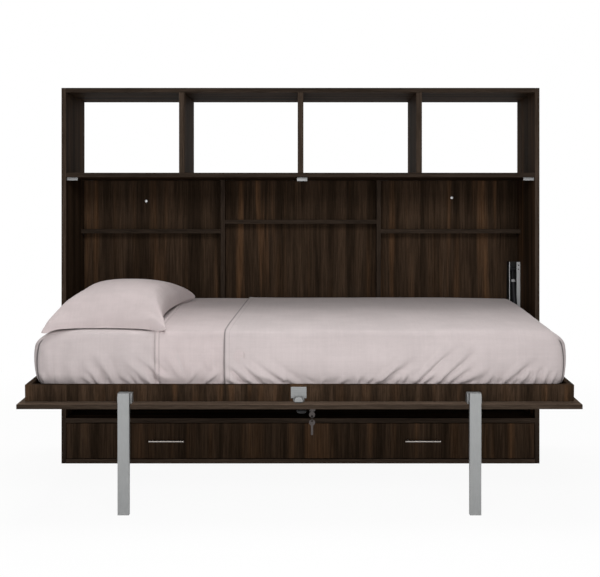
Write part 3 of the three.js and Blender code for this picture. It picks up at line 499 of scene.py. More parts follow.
def channel_material(name, metal):
    """Zinc that is bright on the channel's front edges and dull and shaded inside."""
    made, g, shader = new_material(name)
    tone = brushed(g, shader, metal.zinc, SATIN_ROUGH, SIDEWAYS)
    front = min(v.co.y for v in NODES["strut_channel"].data.vertices)
    face = [front + away for away in CHANNEL_FACE]
    ahead = g.fade(g.split(g.place())["Y"], *face)
    bright = g.times(g.fade(g.split(g.normal())["Y"], -0.9, -0.5), ahead)
    tone = g.mix(bright, scaled(metal.zinc, CHANNEL_SHADE), tone)
    values = {"Specular IOR Level": BLACK_SHINE, "Metallic": g.times(bright, 0.5)}
    g.fill(shader, {"Base Color": tone, **values})
    return made


STITCHES_PER_METRE = 300.0
HEM_ROW = 0.019  # from the hem's edge to its row of stitches
CREASE_FADE = 0.016  # height over which a corner fold's painted shadow line ends
# Painted lines on a cloth: metres from the middle at which each starts and ends to fade, and its
# strength. They are painted shade in the stitches' grooves, a painted highlight on the stitches,
# a painted shadow along the coverlet's edge, painted shade in its hem seam and a painted shadow
# in the corner folds' lap
GROOVE, THREAD_HIGHLIGHT = (0.0010, 0.0034), (0.0005, 0.0011)
HEM_EDGE_SHADOW, HEM_SEAM_SHADE = (0.0035, 0.0075, 0.62), (0.0006, 0.0022, 0.15)
CREASE_SHADOW = (0.0030, 0.0072, 0.85)
DASH = (0.30, 0.38)  # share of a stitch over which its thread ends


def cloth_material(name, tone, slub=1.0, stitches=(), hem=False, crease=None):
    """Woven cotton. stitches lists the X of each row of stitches in the cloth, each painted with
    shade in its groove and a highlight on its stitches; hem paints a shadow along the cloth's
    marked edge and shade in its seam; and crease is the height up to which the painted shadow line
    of its marked corner folds reaches."""
    made, g, shader = new_material(name)
    place = g.place()
    woven = g.group(cotton_weave, Vector=place, Color=tone, Slub=slub)
    body, height = woven["Color"], woven["Height"]
    for row in stitches:
        axes = g.split(place)
        beat = g.math("FRACT", g.times(g.plus(axes["Y"], axes["Z"]), STITCHES_PER_METRE))
        dashes = g.fade(g.apart(beat, 0.5), *DASH)
        across = g.apart(axes["X"], row)
        thread_highlight = g.fade(across, *THREAD_HIGHLIGHT)
        groove = g.fade(across, *GROOVE)
        # Painted shade in the stitches' groove
        body = g.mix(g.times(groove, 0.62), body, scaled(tone, 0.40))
        # Painted highlight on the stitches' dashes
        body = g.mix(g.times(thread_highlight, dashes), body, scaled(tone, 1.25))
        height = g.math("SUBTRACT", height, g.times(groove, 3.0))
    # Tone of the painted shadow and shade lines below
    deep = scaled(tone, 0.16)
    if hem:
        away = g.attribute("from_hem")
        # Painted shadow along the cloth's marked edge, and painted shade in its hem seam
        body = g.mix(g.fade(away, *HEM_EDGE_SHADOW), body, deep)
        body = g.mix(g.fade(g.apart(away, HEM_ROW), *HEM_SEAM_SHADE), body, deep)
    if crease is not None:
        away = g.math("ABSOLUTE", g.attribute("from_crease"))
        # Painted shadow line in the lap of the corner folds
        line = g.fade(away, *CREASE_SHADOW)
        below = g.fade(g.split(place)["Z"], crease - CREASE_FADE, crease)
        body = g.mix(g.times(line, below), body, deep)
    values = {
        "Base Color": body,
        "Roughness": 0.86,
        "Specular IOR Level": 0.25,
        "Sheen Weight": 0.18,
        "Sheen Roughness": 0.55,
        "Sheen Tint": (1.0, 0.93, 0.91),
        "Normal": g.bump(height, 0.22, CLOTH_RELIEF),
    }
    g.fill(shader, values)
    return made


# ---------------------------------------------------------------- boards and metal

JOIN = 0.00004  # points closer than this are one
SLAT_BEVEL = 0.0012
FITTING_ANGLE = 38.0  # edges of fittings sharper than this many degrees are rounded


def finish(node, material, bevel, sharp=30.0):
    """A board's or fitting's finish: its mesh stays, and its edges are rounded a little."""
    node.data.materials.clear()
    node.data.materials.append(material)
    node.modifiers.new("Join", "WELD").merge_threshold = JOIN
    rounding = node.modifiers.new("Edge round", "BEVEL")
    rounding.width = bevel
    rounding.segments = 2
    rounding.limit_method = "ANGLE"
    rounding.angle_limit = math.radians(sharp)
    node.modifiers.new("Even shading", "WEIGHTED_NORMAL").keep_sharp = True


def sides(*names):
    """Left and right names of pieces that come in pairs."""
    return tuple(f"{name}_{side}" for name in names for side in ("left", "right"))


CABINET_UPRIGHTS = (*sides("side_panel", "hutch_divider"), "hutch_divider_middle")
NICHE_LEVELS = (*sides("niche_shelf"), "niche_shelf_middle", "niche_floor")
DRAWER_BOX = (*sides("drawer_side"), "drawer_back", "drawer_bottom")
RAILS = ("front_rail", "rear_rail", *sides("end_rail"))
SATIN = (*sides("leg_bracket", "leg"), "lock_bolt")
ZINC = (*sides("drawer_runner", "pivot_bearing", "pivot_pin", "wall_screw_cap"), "strut_bracket")
CAPS = (*sides("stop_plate"), "strike_plate")
CHROME = ("key", "spare_key", "lock_barrel", "lock_plug")

# Each board finish: nodes, title, grain's turn, edging's turn, share of streaks, and the
# factors of the boards' and the edging's tones. These factors are painted light and shade: they
# lighten copies of the one laminate where the bed shades them, most of all the drawer face and
# the edges of the base panel and drawer deck.
BOARD_FINISHES = (
    (CABINET_UPRIGHTS, "cabinet_upright", UPRIGHT, UPRIGHT, 0.7, 0.9, 1.6),
    (("top_panel", "hutch_shelf"), "cabinet_level", SIDEWAYS, SIDEWAYS, 0.5, 0.9, 1.05),
    (("drawer_deck",), "drawer_deck", SIDEWAYS, SIDEWAYS, 0.5, 1.0, 1.7),
    (("base_panel",), "cabinet_foot", SIDEWAYS, SIDEWAYS, 0.5, 1.0, 3.0),
    (sides("niche_divider"), "niche_upright", UPRIGHT, UPRIGHT, 0.6, 1.0, 1.3),
    (NICHE_LEVELS, "niche_level", SIDEWAYS, SIDEWAYS, 0.4, 1.0, 1.1),
    (("back_panel",), "back_board", UPRIGHT, None, 0.85, 1.0, 1.0),
    (("drawer_front",), "drawer_face", UPRIGHT, None, 0.75, 1.3, 1.0),
    (DRAWER_BOX, "drawer_box", SIDEWAYS, None, 0.3, 1.0, 1.0),
    (RAILS, "bed_rail", UPRIGHT, None, 0.55, 1.0, 1.0),
    (("face_panel",), "bed_face", LENGTHWAYS, SIDEWAYS, 0.75, 1.0, 1.4),
)
GRAIN_STEP = 0.37  # how far the grain moves on from one finish to the next


class WALLBED_OT_boards(Operator):
    """Give every board its laminate, its grain direction and its rounded edges"""

    bl_idname = "wallbed.boards"
    bl_label = "Boards"

    def execute(self, context):
        boards = context.scene.wallbed_boards
        for index, (names, title, *look) in enumerate(BOARD_FINISHES):
            offset = (index * GRAIN_STEP, 0, 0)
            material = board_material(title, boards, *look, offset, ledge=title == "bed_face")
            for name in names:
                finish(NODES[name], material, boards.bevel)
        return {"FINISHED"}


class WALLBED_OT_slats(Operator):
    """Give the unseen slatted base its plain beech"""

    bl_idname = "wallbed.slats"
    bl_label = "Slatted base"

    def execute(self, context):
        slats = context.scene.wallbed_slats
        made, g, shader = new_material("beech")
        tones = {"Dark Color": slats.deep, "Middle Color": slats.light}
        tones["Streak Color"] = scaled(slats.light, 0.8)
        vector = g.mapped(g.place(), rotation=LENGTHWAYS)
        grain = g.group(board_grain, Vector=vector, Bands=60.0, Streaks=0.3, **tones)
        values = {
            "Base Color": grain["Color"],
            "Roughness": g.plus(grain["Roughness"], 0.6),
            "Normal": g.bump(grain["Height"], 0.2, BOARD_RELIEF),
        }
        g.fill(shader, values)
        finish(NODES["slatted_base"], made, SLAT_BEVEL)
        return {"FINISHED"}


class WALLBED_OT_fittings(Operator):
    """Give legs, lock, handles, hinges and gas strut their metal"""

    bl_idname = "wallbed.fittings"
    bl_label = "Metal fittings"

    def execute(self, context):
        metal = context.scene.wallbed_metal
        # Nodes, title, tone, roughness, how metallic, and what differs from plain brushed metal
        finishes = (
            (SATIN, "satin_grey", metal.satin, SATIN_ROUGH, 0.35, {"turn": SIDEWAYS}),
            (("lock_case",), "brushed_plate", scaled(metal.satin, 0.92), 0.34, 0.75,
             {"bump": 0.3, "coarse": 0.12}),
            (sides("drawer_handle"), "brushed_handle", metal.handle, 0.28, 0.9, {}),
            (ZINC, "zinc_plated", metal.zinc, 0.34, 0.75, {"turn": SIDEWAYS}),
            # Caps: zinc darkened to 0.55 of its tone as painted shade
            (CAPS, "dull_plated", scaled(metal.zinc, 0.55), 0.5, 0.6, {}),
            # Nickel: its dark tone is painted shade
            (CHROME, "dark_nickel", metal.chrome, 0.3, 0.9, {"turn": SIDEWAYS}),
            (("strut_rod", "pull_knob"), "black_satin", metal.black, 0.45, 0.0,
             {"turn": SIDEWAYS, "shine": BLACK_SHINE}),
        )
        for names, title, tone, roughness, metallic, more in finishes:
            material = metal_material(title, tone, roughness, metallic, **more)
            for name in names:
                finish(NODES[name], material, metal.bevel, sharp=FITTING_ANGLE)
        black = strut_material("strut_black", metal)
        finish(NODES["strut_cylinder"], black, metal.bevel, sharp=FITTING_ANGLE)
        return {"FINISHED"}


def shown(name, bm):
    """A new object in the scene that takes over the bmesh."""
    mesh = bpy.data.meshes.new(name)
    bm.to_mesh(mesh)
    bm.free()
    piece = bpy.data.objects.new(name, mesh)
    bpy.context.scene.collection.objects.link(piece)
    return piece


class WALLBED_OT_strut_channel(Operator):
    """Carry the gas strut's channel on down behind the mattress"""

    bl_idname = "wallbed.strut_channel"
    bl_label = "Strut channel"

    def execute(self, context):
        metal = context.scene.wallbed_metal
        bm = bmesh.new()
        bm.from_mesh(NODES["strut_channel"].data)
        bmesh.ops.remove_doubles(bm, verts=bm.verts, dist=JOIN)
        low = min(v.co.z for v in bm.verts)
        foot = [v for v in bm.verts if v.co.z < low + 0.001]
        bmesh.ops.translate(bm, vec=(0, 0, -metal.channel_foot), verts=foot)
        piece = shown("strut_channel_long", bm)
        material = channel_material("channel_zinc", metal)
        finish(piece, material, metal.bevel, sharp=FITTING_ANGLE)
        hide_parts("strut_channel")
        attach(piece, "cabinet")
        return {"FINISHED"}


# ---------------------------------------------------------------- bedclothes


def smooth(value, low, high):
    """0 below low, 1 above high, and a soft step between."""
    t = np.clip((value - low) / (high - low), 0, 1)
    return t * t * (3 - 2 * t)


def box_grid(low, high, step, leave_out=()):
    """A box of small quads. leave_out names the sides that stay open, such as '-z'."""
    bm = bmesh.new()
    bmesh.ops.create_cube(bm, size=1.0)
    size = Vector(high) - Vector(low)
    bmesh.ops.scale(bm, vec=size, verts=bm.verts)
    bmesh.ops.translate(bm, vec=(Vector(high) + Vector(low)) / 2, verts=bm.verts)
    for axis in range(3):
        cuts = max(1, round(size[axis] / step)) - 1
        runs = [(e, (e.verts[0].co - e.verts[1].co).normalized()) for e in bm.edges]
        edges = [edge for edge, run in runs if abs(run[axis]) > 0.9]
        if cuts:
            bmesh.ops.subdivide_edges(bm, edges=edges, cuts=cuts, use_grid_fill=True)
    bm.normal_update()
    for side in leave_out:
        axis, sign = "xyz".index(side[1]), -1 if side[0] == "-" else 1
        gone = [f for f in bm.faces if f.normal[axis] * sign > 0.9]
        bmesh.ops.delete(bm, geom=gone, context="FACES")
    return bm


def points_of(bm):
    """The bmesh's points, one row each."""
    bm.verts.ensure_lookup_table()
    return np.array([v.co for v in bm.verts])


def normals_of(bm):
    """The normals at the bmesh's points, one row each."""
    bm.normal_update()
    return np.array([v.normal for v in bm.verts])


def put_points(bm, points):
    """Moves the bmesh's points."""
    for vertex, point in zip(bm.verts, points):
        vertex.co = point


def push(bm, height):
    """Moves the bmesh's points along their normals, each by its own height."""
    points, normals = points_of(bm), normals_of(bm)
    put_points(bm, points + normals * height[:, None])


# Where the mattress's form changes, in metres in bed space
ROUND_GROWS = (0.30, 0.06)  # from the ends: the long edges' rounding grows to that of the ends
SHOULDER_LENGTH = 0.16  # from the ends: the top starts to fall
SHOULDER_GROWS = (-0.10, -0.64)  # Y: the fall grows towards the legs
STRUT_CLEAR = (-0.55, -0.30)  # Y: the swell of the strut's end fades away
BELLY_END = 0.022  # from the top: the front's swell ends
TUCK_ENDS = (-0.02, 0.20)  # share of the way from rail to top over which the tuck fades
EDGE_SHAPE = (1.05, 1.15, 1.0)  # how far the rounding of the edges reaches along X, Y and Z


def mattress_skin(points, cloth, margin):
    """Box points carried onto the mattress: rounded edges, a crowned top and drawn-in sides."""
    half = MATTRESS_HALF + margin
    half[2] -= cloth.crown / 2
    centre = MATTRESS_CENTRE - np.array((0, 0, cloth.crown / 2))
    local = (points - centre) / MATTRESS_HALF * half
    towards_end = smooth(np.abs(local[:, 0]), *(half[0] - away for away in ROUND_GROWS))
    long_side = cloth.long_round + (cloth.edge_round - cloth.long_round) * towards_end
    end = np.full(len(local), cloth.edge_round)
    edge = np.stack((end, long_side, long_side), axis=1) * EDGE_SHAPE + margin
    inner = np.clip(local, -(half - edge), half - edge)
    out = (local - inner) / edge
    out /= np.maximum(np.linalg.norm(out, axis=1), 1e-9)[:, None]
    skin = inner + out * edge
    a, b, c = (skin / half).T
    skin[:, 2] += cloth.crown * (1 - a**6) * (1 - b**4) * np.clip(out[:, 2], 0, 1)
    near_end = np.clip((np.abs(skin[:, 0]) - half[0]) / SHOULDER_LENGTH + 1, 0, 1)
    towards_foot = smooth(skin[:, 1] + centre[1], *SHOULDER_GROWS)
    skin[:, 2] -= cloth.shoulder * near_end**2 * towards_foot * np.clip(c, 0, 1)
    clear_of_strut = 1 - smooth(skin[:, 1] + centre[1], *STRUT_CLEAR)
    swell = cloth.swell * np.clip(1 - c * c, 0, 1) * np.where(skin[:, 0] < 0, 1.0, clear_of_strut)
    skin[:, 0] += swell * out[:, 0]
    rail = RAIL_HIGH[2]
    above_rail = (skin[:, 2] + centre[2] - rail) / (MATTRESS_HIGH[2] - BELLY_END - rail)
    belly = cloth.front_swell * np.sin(np.pi * np.clip(above_rail, 0, 1))
    tuck = cloth.tuck * (1 - smooth(above_rail, *TUCK_ENDS))
    skin[:, 1] += (tuck - belly) * np.clip(-out[:, 1], 0, 1)
    return skin + centre


# Folds of the front drape in bed space: bottom X and Z, top X and Z, width and depth in millimetres
COVERLET_FOLDS = (
    (330, 38, 352, 72, 7.5, 5), (357, 38, 385, 80, 7.5, 5.2), (436, 38, 470, 84, 8, 5),
    (700, 38, 722, 74, 7.5, 4.6), (760, 38, 784, 80, 7.5, 4.6), (-40, 40, -66, 70, 8, 3.6),
    (405, 40, 545, 186, 8.5, 6), (478, 46, 622, 188, 9.5, 4.8), (526, 48, 610, 112, 8, 4),
    (585, 48, 668, 106, 12, 3.8), (268, 40, 392, 152, 11, 5), (234, 40, 266, 70, 7.8, 5.3),
    (297, 60, 336, 112, 9, 3.8), (200, 40, 216, 68, 6.8, 4.8), (138, 40, 160, 70, 7.8, 4.3),
    (75, 40, 90, 62, 7.8, 3), (382, 36, 414, 66, 7.3, 5.3), (480, 36, 512, 68, 7.8, 4.8),
    (726, 40, 822, 140, 10.5, 5.2), (784, 40, 830, 108, 8.8, 5.8), (832, 40, 856, 106, 8.3, 5.6),
    (877, 40, 889, 100, 7.8, 5), (905, 40, 911, 92, 6.8, 4.2), (655, 44, 706, 92, 10, 3.6),
    (560, 38, 580, 62, 7.8, 3.8), (620, 38, 640, 62, 7.8, 3.8), (-160, 46, -262, 128, 11, 5.2),
    (-78, 46, -226, 136, 13, 5), (-214, 44, -262, 84, 8.8, 5.4), (-6, 46, -142, 110, 15, 3.4),
    (36, 42, -4, 64, 8, 2.4), (-105, 40, -140, 62, 7.8, 3.8),
)
COVER_FOLDS = (
    (-604, 40, -628, 72, 7.5, 4), (-748, 40, -772, 78, 8, 3.8), (-530, 46, -645, 170, 15, 3.4),
    (-500, 90, -618, 176, 13, 2.8), (-655, 44, -722, 146, 12, 3.6), (-706, 42, -764, 118, 11, 3.4),
    (-515, 44, -574, 118, 9, 4.2), (-580, 44, -612, 94, 8, 3.2), (-716, 38, -735, 70, 7.3, 4.4),
    (-684, 38, -700, 70, 6.8, 4.4), (-666, 38, -684, 66, 6.8, 4.2), (-916, 40, -922, 80, 6.8, 3.8),
    (-900, 50, -903, 180, 9, 1.4), (-870, 50, -874, 180, 12, 1.2), (-800, 44, -836, 130, 16, 1.8),
)
SHEET_FOLDS = (
    (-410, 44, -366, 98, 9, 2.8), (-342, 42, -300, 92, 8, 3.2), (-296, 40, -276, 66, 7.8, 3.4),
    (-440, 90, -480, 170, 14, 2.2), (-320, 110, -352, 176, 14, 1.8),
)


# Form of a fold: along it from 0 at its foot to 1 at its top, and across it in widths
FOLD_STARTS, FOLD_ENDS = (-0.35, 0.02), (0.6, 1.35)
FOLD_LOSS = 0.4  # share of its height that it has lost at its top
FOLD_WIDTH, FOLD_SPREAD = 0.75, 0.8  # width at its foot, and what its top adds
HOLLOWS = ((0.8, 1.45), (0.25, -1.7))  # depth and place of the hollows beside it
BEND = (0.004, 2.6, 40)  # metres, radians over its length, and radians per metre of its place


def fold_lift(points, folds):
    """Height of the folds above the drape, at points in bed space."""
    x, z = points[:, 0], points[:, 2]
    lift = np.zeros(len(points))
    for low_x, low_z, top_x, top_z, width, depth in np.array(folds) / 1000:
        run = np.array((top_x - low_x, top_z - low_z))
        reach = np.linalg.norm(run)
        along = ((x - low_x) * run[0] + (z - low_z) * run[1]) / reach**2
        across = ((x - low_x) * run[1] - (z - low_z) * run[0]) / reach
        across = across - BEND[0] * np.sin(along * BEND[1] + low_x * BEND[2])
        part = np.clip(along, 0, 1)
        strength = smooth(along, *FOLD_STARTS) * (1 - smooth(along, *FOLD_ENDS))
        strength = strength * (1 - FOLD_LOSS * part)
        t = across / (width * (FOLD_WIDTH + FOLD_SPREAD * part))
        hollows = sum(deep * np.exp(-((t - place) ** 2)) for deep, place in HOLLOWS)
        lift += depth * strength * (np.exp(-t * t) - hollows)
    return lift


# Unevenness of laid cloth: scale, depth in metres and stretch of the noise
FRONT_RIPPLE = (13.0, 0.0042, (1, 1, 0.6))
TOP_RIPPLE = (9.0, 0.0016, (0.5, 1, 1))
SIDE_RIPPLE = (26.0, 0.0011, (1, 1, 0.45))
# Waves of the hanging ends and back: depth in metres, and radians per metre along and up
END_WAVE, BACK_WAVE = (0.0022, 46, 14), (0.0020, 38, -16)
DEEPEST = -0.0080  # no dip goes deeper than this


def ripple(points, scale, depth, stretch):
    """Small even unevenness of laid cloth."""
    grain = np.array(stretch) * scale
    return depth * np.array([noise.noise(Vector(p * grain)) for p in points])


def lay_cloth(bm, cloth, folds, seed, gain):
    """Folds on the front drape, and faint dips on the top."""
    points, (across, inwards, up) = points_of(bm), normals_of(bm).T
    x, y, z = points.T
    front = smooth(-inwards, 0.15, 0.8)
    top = smooth(up, 0.2, 0.9)
    lift = fold_lift(points, folds) * front * cloth.fold_gain * gain
    lift += ripple(points + seed, *FRONT_RIPPLE) * front
    lift += ripple(points + seed, *TOP_RIPPLE) * top
    lift += ripple(points + seed, *SIDE_RIPPLE) * (1 - top)
    for facing, along, wave in ((np.abs(across), y, END_WAVE), (inwards, x, BACK_WAVE)):
        depth, first, second = wave
        lift += smooth(facing, 0.5, 0.9) * depth * np.sin(along * first + z * second + seed)
    push(bm, np.maximum(lift, DEEPEST))


def bed_object(name, bm, material):
    """A shown piece made in bed space and set in the room, its faces smooth."""
    bm.transform(BED_SPACE)
    for face in bm.faces:
        face.smooth = True
    piece = shown(name, bm)
    piece.data.materials.append(material)
    return piece


def shell(piece, thickness):
    """Gives a laid cloth its thickness, outwards."""
    wall = piece.modifiers.new("Cloth", "SOLIDIFY")
    wall.thickness = thickness
    wall.offset = 1.0


def mark(bm, name, values):
    """Keeps one number per point for the material."""
    layer = bm.verts.layers.float.new(name)
    for vertex, value in zip(bm.verts, values):
        vertex[layer] = value


CREASE_ENDS = (0.222, 0.190)  # bed Z over which a corner fold grows from nothing
CREASE_TOP = 0.026  # from the mattress's top to the height where its painted shadow line ends
# Across a corner fold, in metres: where its lap rises and ends, and the place and width of its dip
LAP_RISES, LAP_ENDS = (-0.034, -0.006), (-0.005, 0.004)
DIP_PLACE, DIP_WIDTH = 0.001, 0.0055
LAP_HEIGHT = 0.5  # share of the dip's depth
COVER_CREASE, COVERLET_CREASE = 0.0045, 0.0050  # depth of each cloth's corner fold


def corner_crease(bm, cloth, side, depth):
    """The lapped fold where the front drape is turned round the mattress's corner."""
    x, y, z = normals_of(bm).T
    away = (np.arctan2(x * side, -y) - cloth.crease_turn) * cloth.edge_round * 1.1
    level = (1 - smooth(np.abs(z), 0.2, 0.7)) * smooth(points_of(bm)[:, 2], *CREASE_ENDS)
    lap = smooth(away, *LAP_RISES) * (1 - smooth(away, *LAP_ENDS))
    dip = np.exp(-(((away - DIP_PLACE) / DIP_WIDTH) ** 2))
    push(bm, level * depth * (LAP_HEIGHT * lap - dip))
    mark(bm, "from_crease", away)


def crease_top():
    """Height in the room at which the corner folds end, and with them their painted shadow lines.
    """
    return (BED_SPACE @ Vector((0, MATTRESS_LOW[1], MATTRESS_HIGH[2] - CREASE_TOP))).z


# Place of the unevenness and depth of the folds. The top sheet shares those of the cover below it.
COVER_SEED, COVER_GAIN = 3.1, 1.7
COVERLET_SEED, COVERLET_GAIN = 8.7, 1.25


class WALLBED_OT_mattress(Operator):
    """Make the mattress in its fitted sheet"""

    bl_idname = "wallbed.mattress"
    bl_label = "Mattress"

    def execute(self, context):
        cloth = context.scene.wallbed_cloth
        bm = box_grid(MATTRESS_LOW, MATTRESS_HIGH, cloth.grid)
        put_points(bm, mattress_skin(points_of(bm), cloth, 0.0))
        corner_crease(bm, cloth, -1, COVER_CREASE)
        lay_cloth(bm, cloth, COVER_FOLDS, COVER_SEED, COVER_GAIN)
        material = cloth_material("fitted_sheet", tuple(cloth.cover), crease=crease_top())
        piece = bed_object("mattress_cover", bm, material)
        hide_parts("mattress")
        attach(piece, "bed")
        return {"FINISHED"}


# Measures of the laid cloths, in metres
SHEET_MARGIN, COVERLET_MARGIN = 0.0011, 0.0034  # how far each lies outside the mattress
SHEET_SHOWS, COVERLET_SHOWS = 0.012, 0.008  # how far each reaches past its node towards the head
UNDERLAP = 0.020  # how far the sheet runs on under the coverlet
SKIRT = 0.020  # from the mattress's bottom to the cloths' lower edges
SLANT_LENGTH = 0.5  # over which the slant of the coverlet's edge fades
STITCHES = (0.0165, 0.0030)  # from the sheet's edge to its rows of stitches
# Where each hem falls to the single cloth, counted from its edge, and how far it stands up
SHEET_HEM, SHEET_HEM_RISE = (0.020, 0.014), 0.0012
COVERLET_HEM, COVERLET_HEM_RISE = (0.022, 0.004), 0.0020
SHEET_RISE = 0.0004  # how far the whole sheet stands off the cover


def cloth_grid(cloth, head, foot, leave_out):
    """The box from which a laid cloth is made, between two X of bed space."""
    low = (head, MATTRESS_LOW[1], MATTRESS_LOW[2] + SKIRT)
    return box_grid(low, (foot, *MATTRESS_HIGH[1:]), cloth.grid * 0.8, leave_out)


class WALLBED_OT_top_sheet(Operator):
    """Lay the top sheet's head end, with its hem, over the fitted sheet"""

    bl_idname = "wallbed.top_sheet"
    bl_label = "Top sheet"

    def execute(self, context):
        cloth = context.scene.wallbed_cloth
        head = SHEET_LOW[0] - SHEET_SHOWS
        bm = cloth_grid(cloth, head, SHEET_HIGH[0] + UNDERLAP, ("-z", "-x", "+x"))
        put_points(bm, mattress_skin(points_of(bm), cloth, SHEET_MARGIN))
        lay_cloth(bm, cloth, COVER_FOLDS + SHEET_FOLDS, COVER_SEED, COVER_GAIN)
        hem = smooth(points_of(bm)[:, 0], *(head + away for away in SHEET_HEM))
        push(bm, hem * SHEET_HEM_RISE + SHEET_RISE)
        rows = [head + away for away in STITCHES]
        material = cloth_material("top_sheet_cotton", tuple(cloth.linen), stitches=rows)
        piece = bed_object("top_sheet_cloth", bm, material)
        shell(piece, cloth.thickness)
        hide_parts("top_sheet")
        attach(piece, "bed")
        return {"FINISHED"}


class WALLBED_OT_coverlet(Operator):
    """Lay the coverlet over the bed and tuck it behind the rails"""

    bl_idname = "wallbed.coverlet"
    bl_label = "Coverlet"

    def execute(self, context):
        cloth = context.scene.wallbed_cloth
        head = COVERLET_LOW[0] - COVERLET_SHOWS
        bm = cloth_grid(cloth, head, MATTRESS_HIGH[0], ("-z", "-x"))
        points = points_of(bm)
        inwards = (points[:, 1] - MATTRESS_LOW[1]) / MATTRESS_SIZE[1]
        slant = cloth.slant * np.clip(inwards, 0, 1)
        points[:, 0] += slant * smooth(points[:, 0], head + SLANT_LENGTH, head)
        from_hem = points[:, 0] - head - slant
        put_points(bm, mattress_skin(points, cloth, COVERLET_MARGIN))
        push(bm, smooth(from_hem, *COVERLET_HEM) * COVERLET_HEM_RISE)
        corner_crease(bm, cloth, 1, COVERLET_CREASE)
        lay_cloth(bm, cloth, COVERLET_FOLDS, COVERLET_SEED, COVERLET_GAIN)
        mark(bm, "from_hem", from_hem)
        tone = tuple(cloth.cover)
        material = cloth_material("coverlet_cotton", tone, hem=True, crease=crease_top())
        piece = bed_object("coverlet_cloth", bm, material)
        shell(piece, cloth.thickness * 1.2)
        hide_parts("coverlet")
        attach(piece, "bed")
        return {"FINISHED"}


def top_drop(points, cloth):
    """How far the mattress's rounded edge lies below its top, at points in bed space."""
    inner = MATTRESS_HALF[:2] - cloth.edge_round
    away = np.abs(points[:, :2] - MATTRESS_CENTRE[:2]) - inner
    away = np.clip(away / cloth.edge_round, 0, 1)
    return cloth.edge_round * (1 - np.sqrt(np.clip(1 - (away**2).sum(1), 0, 1)))


# Powers of the pillow's fall to its seams, lengthways and across, and of its points' crowding
FALL_LONG, FALL_WIDE = (2.4, 0.30), (1.9, 0.45)
CROWDING = 1.5


def ease(value):
    """Places from -1 to 1 that stand closer towards both ends."""
    return np.sign(value) * (1 - np.clip(1 - np.abs(value), 0, 1) ** CROWDING)


def fall(place, inner, outer):
    """1 in the middle, falling to 0 at -1 and 1."""
    return (1 - np.abs(place) ** inner) ** outer


def dome(points, flat, half, rise, pillow):
    """A flat box's points carried onto a dome over a nearly flat underside, its sides drawn in."""
    a, b = ease(points[:, 0] / flat[0]), ease(points[:, 1] / flat[1])
    swell = fall(a, *FALL_LONG) * fall(b, *FALL_WIDE)
    seam = pillow.seam / 2
    low = seam + (pillow.belly - seam) * (1 - a * a) * (1 - b * b)
    x = a * half[0] * (1 - pillow.side_draw * (1 - b * b))
    y = b * half[1] * (1 - pillow.end_draw * (1 - a * a))
    z = np.where(points[:, 2] > 0, seam + (rise - seam) * swell, -low)
    return np.stack((x, y, z), axis=1)


def fill(bm, pillow):
    """Fills a sewn case in bmesh by cloth pressure, and returns its points."""
    start = points_of(bm)
    bag = shown("pillow_bag", bm.copy())
    cloth = bag.modifiers.new("Fill", "CLOTH")
    s = cloth.settings
    s.quality = 7
    s.mass = 0.25
    s.tension_stiffness = s.compression_stiffness = 18
    s.shear_stiffness = 10
    s.bending_stiffness = 0.25
    s.shrink_min = s.shrink_max = -pillow.growth
    s.use_pressure = True
    s.uniform_pressure_force = pillow.pressure
    s.effector_weights.gravity = 0
    cloth.point_cache.frame_start = 1
    cloth.point_cache.frame_end = pillow.frames
    scene = bpy.context.scene
    for number in range(1, pillow.frames + 1):
        scene.frame_set(number)
    full = bag.evaluated_get(bpy.context.evaluated_depsgraph_get())
    travel = np.array([v.co for v in full.data.vertices]) - start
    scene.frame_set(1)
    bpy.data.meshes.remove(bag.data)
    far = np.maximum(np.linalg.norm(travel, axis=1), 1e-9)
    return start + travel * (pillow.travel * np.tanh(far / pillow.travel) / far)[:, None]


GATHER_REACH, GATHER_START = 0.15, (0.015, 0.06)  # metres from a corner
GATHER_WAVE = (15, 14, 2.1)  # per radian round a corner, per metre from it and per corner


def corner_gathers(points, half, pillow):
    """Creases that run out from the pillow's corners, as heights."""
    lift = np.zeros(len(points))
    round_it, from_it, next_one = GATHER_WAVE
    for index, corner in enumerate(((-1, -1), (1, -1), (1, 1), (-1, 1))):
        away = half - points[:, :2] * corner
        reach = np.linalg.norm(away, axis=1)
        turn = np.arctan2(away[:, 1], away[:, 0])
        fade = np.exp(-((reach / GATHER_REACH) ** 2)) * smooth(reach, *GATHER_START)
        lift += fade * np.cos(turn * round_it + reach * from_it + index * next_one)
    return lift * pillow.gather


PILLOW_GAP = 0.0008  # from the mattress's node to the pillow
HANG = 0.010  # how far the pillow follows the mattress's rounded edge down
SEAM_FROM = 0.975  # share of the way to the front from which points count as the seam
SETTLES = (0.6, 1.0)  # share of the way to the front over which the pillow sinks onto the sheet
GATHERED = (0.03, 0.3)  # share of its height over which the gathers grow
LIFT_ALONG, LIFT_ACROSS = (0.25, 1.0), (0.35, 1.0)  # from the middle: the corner's lift grows


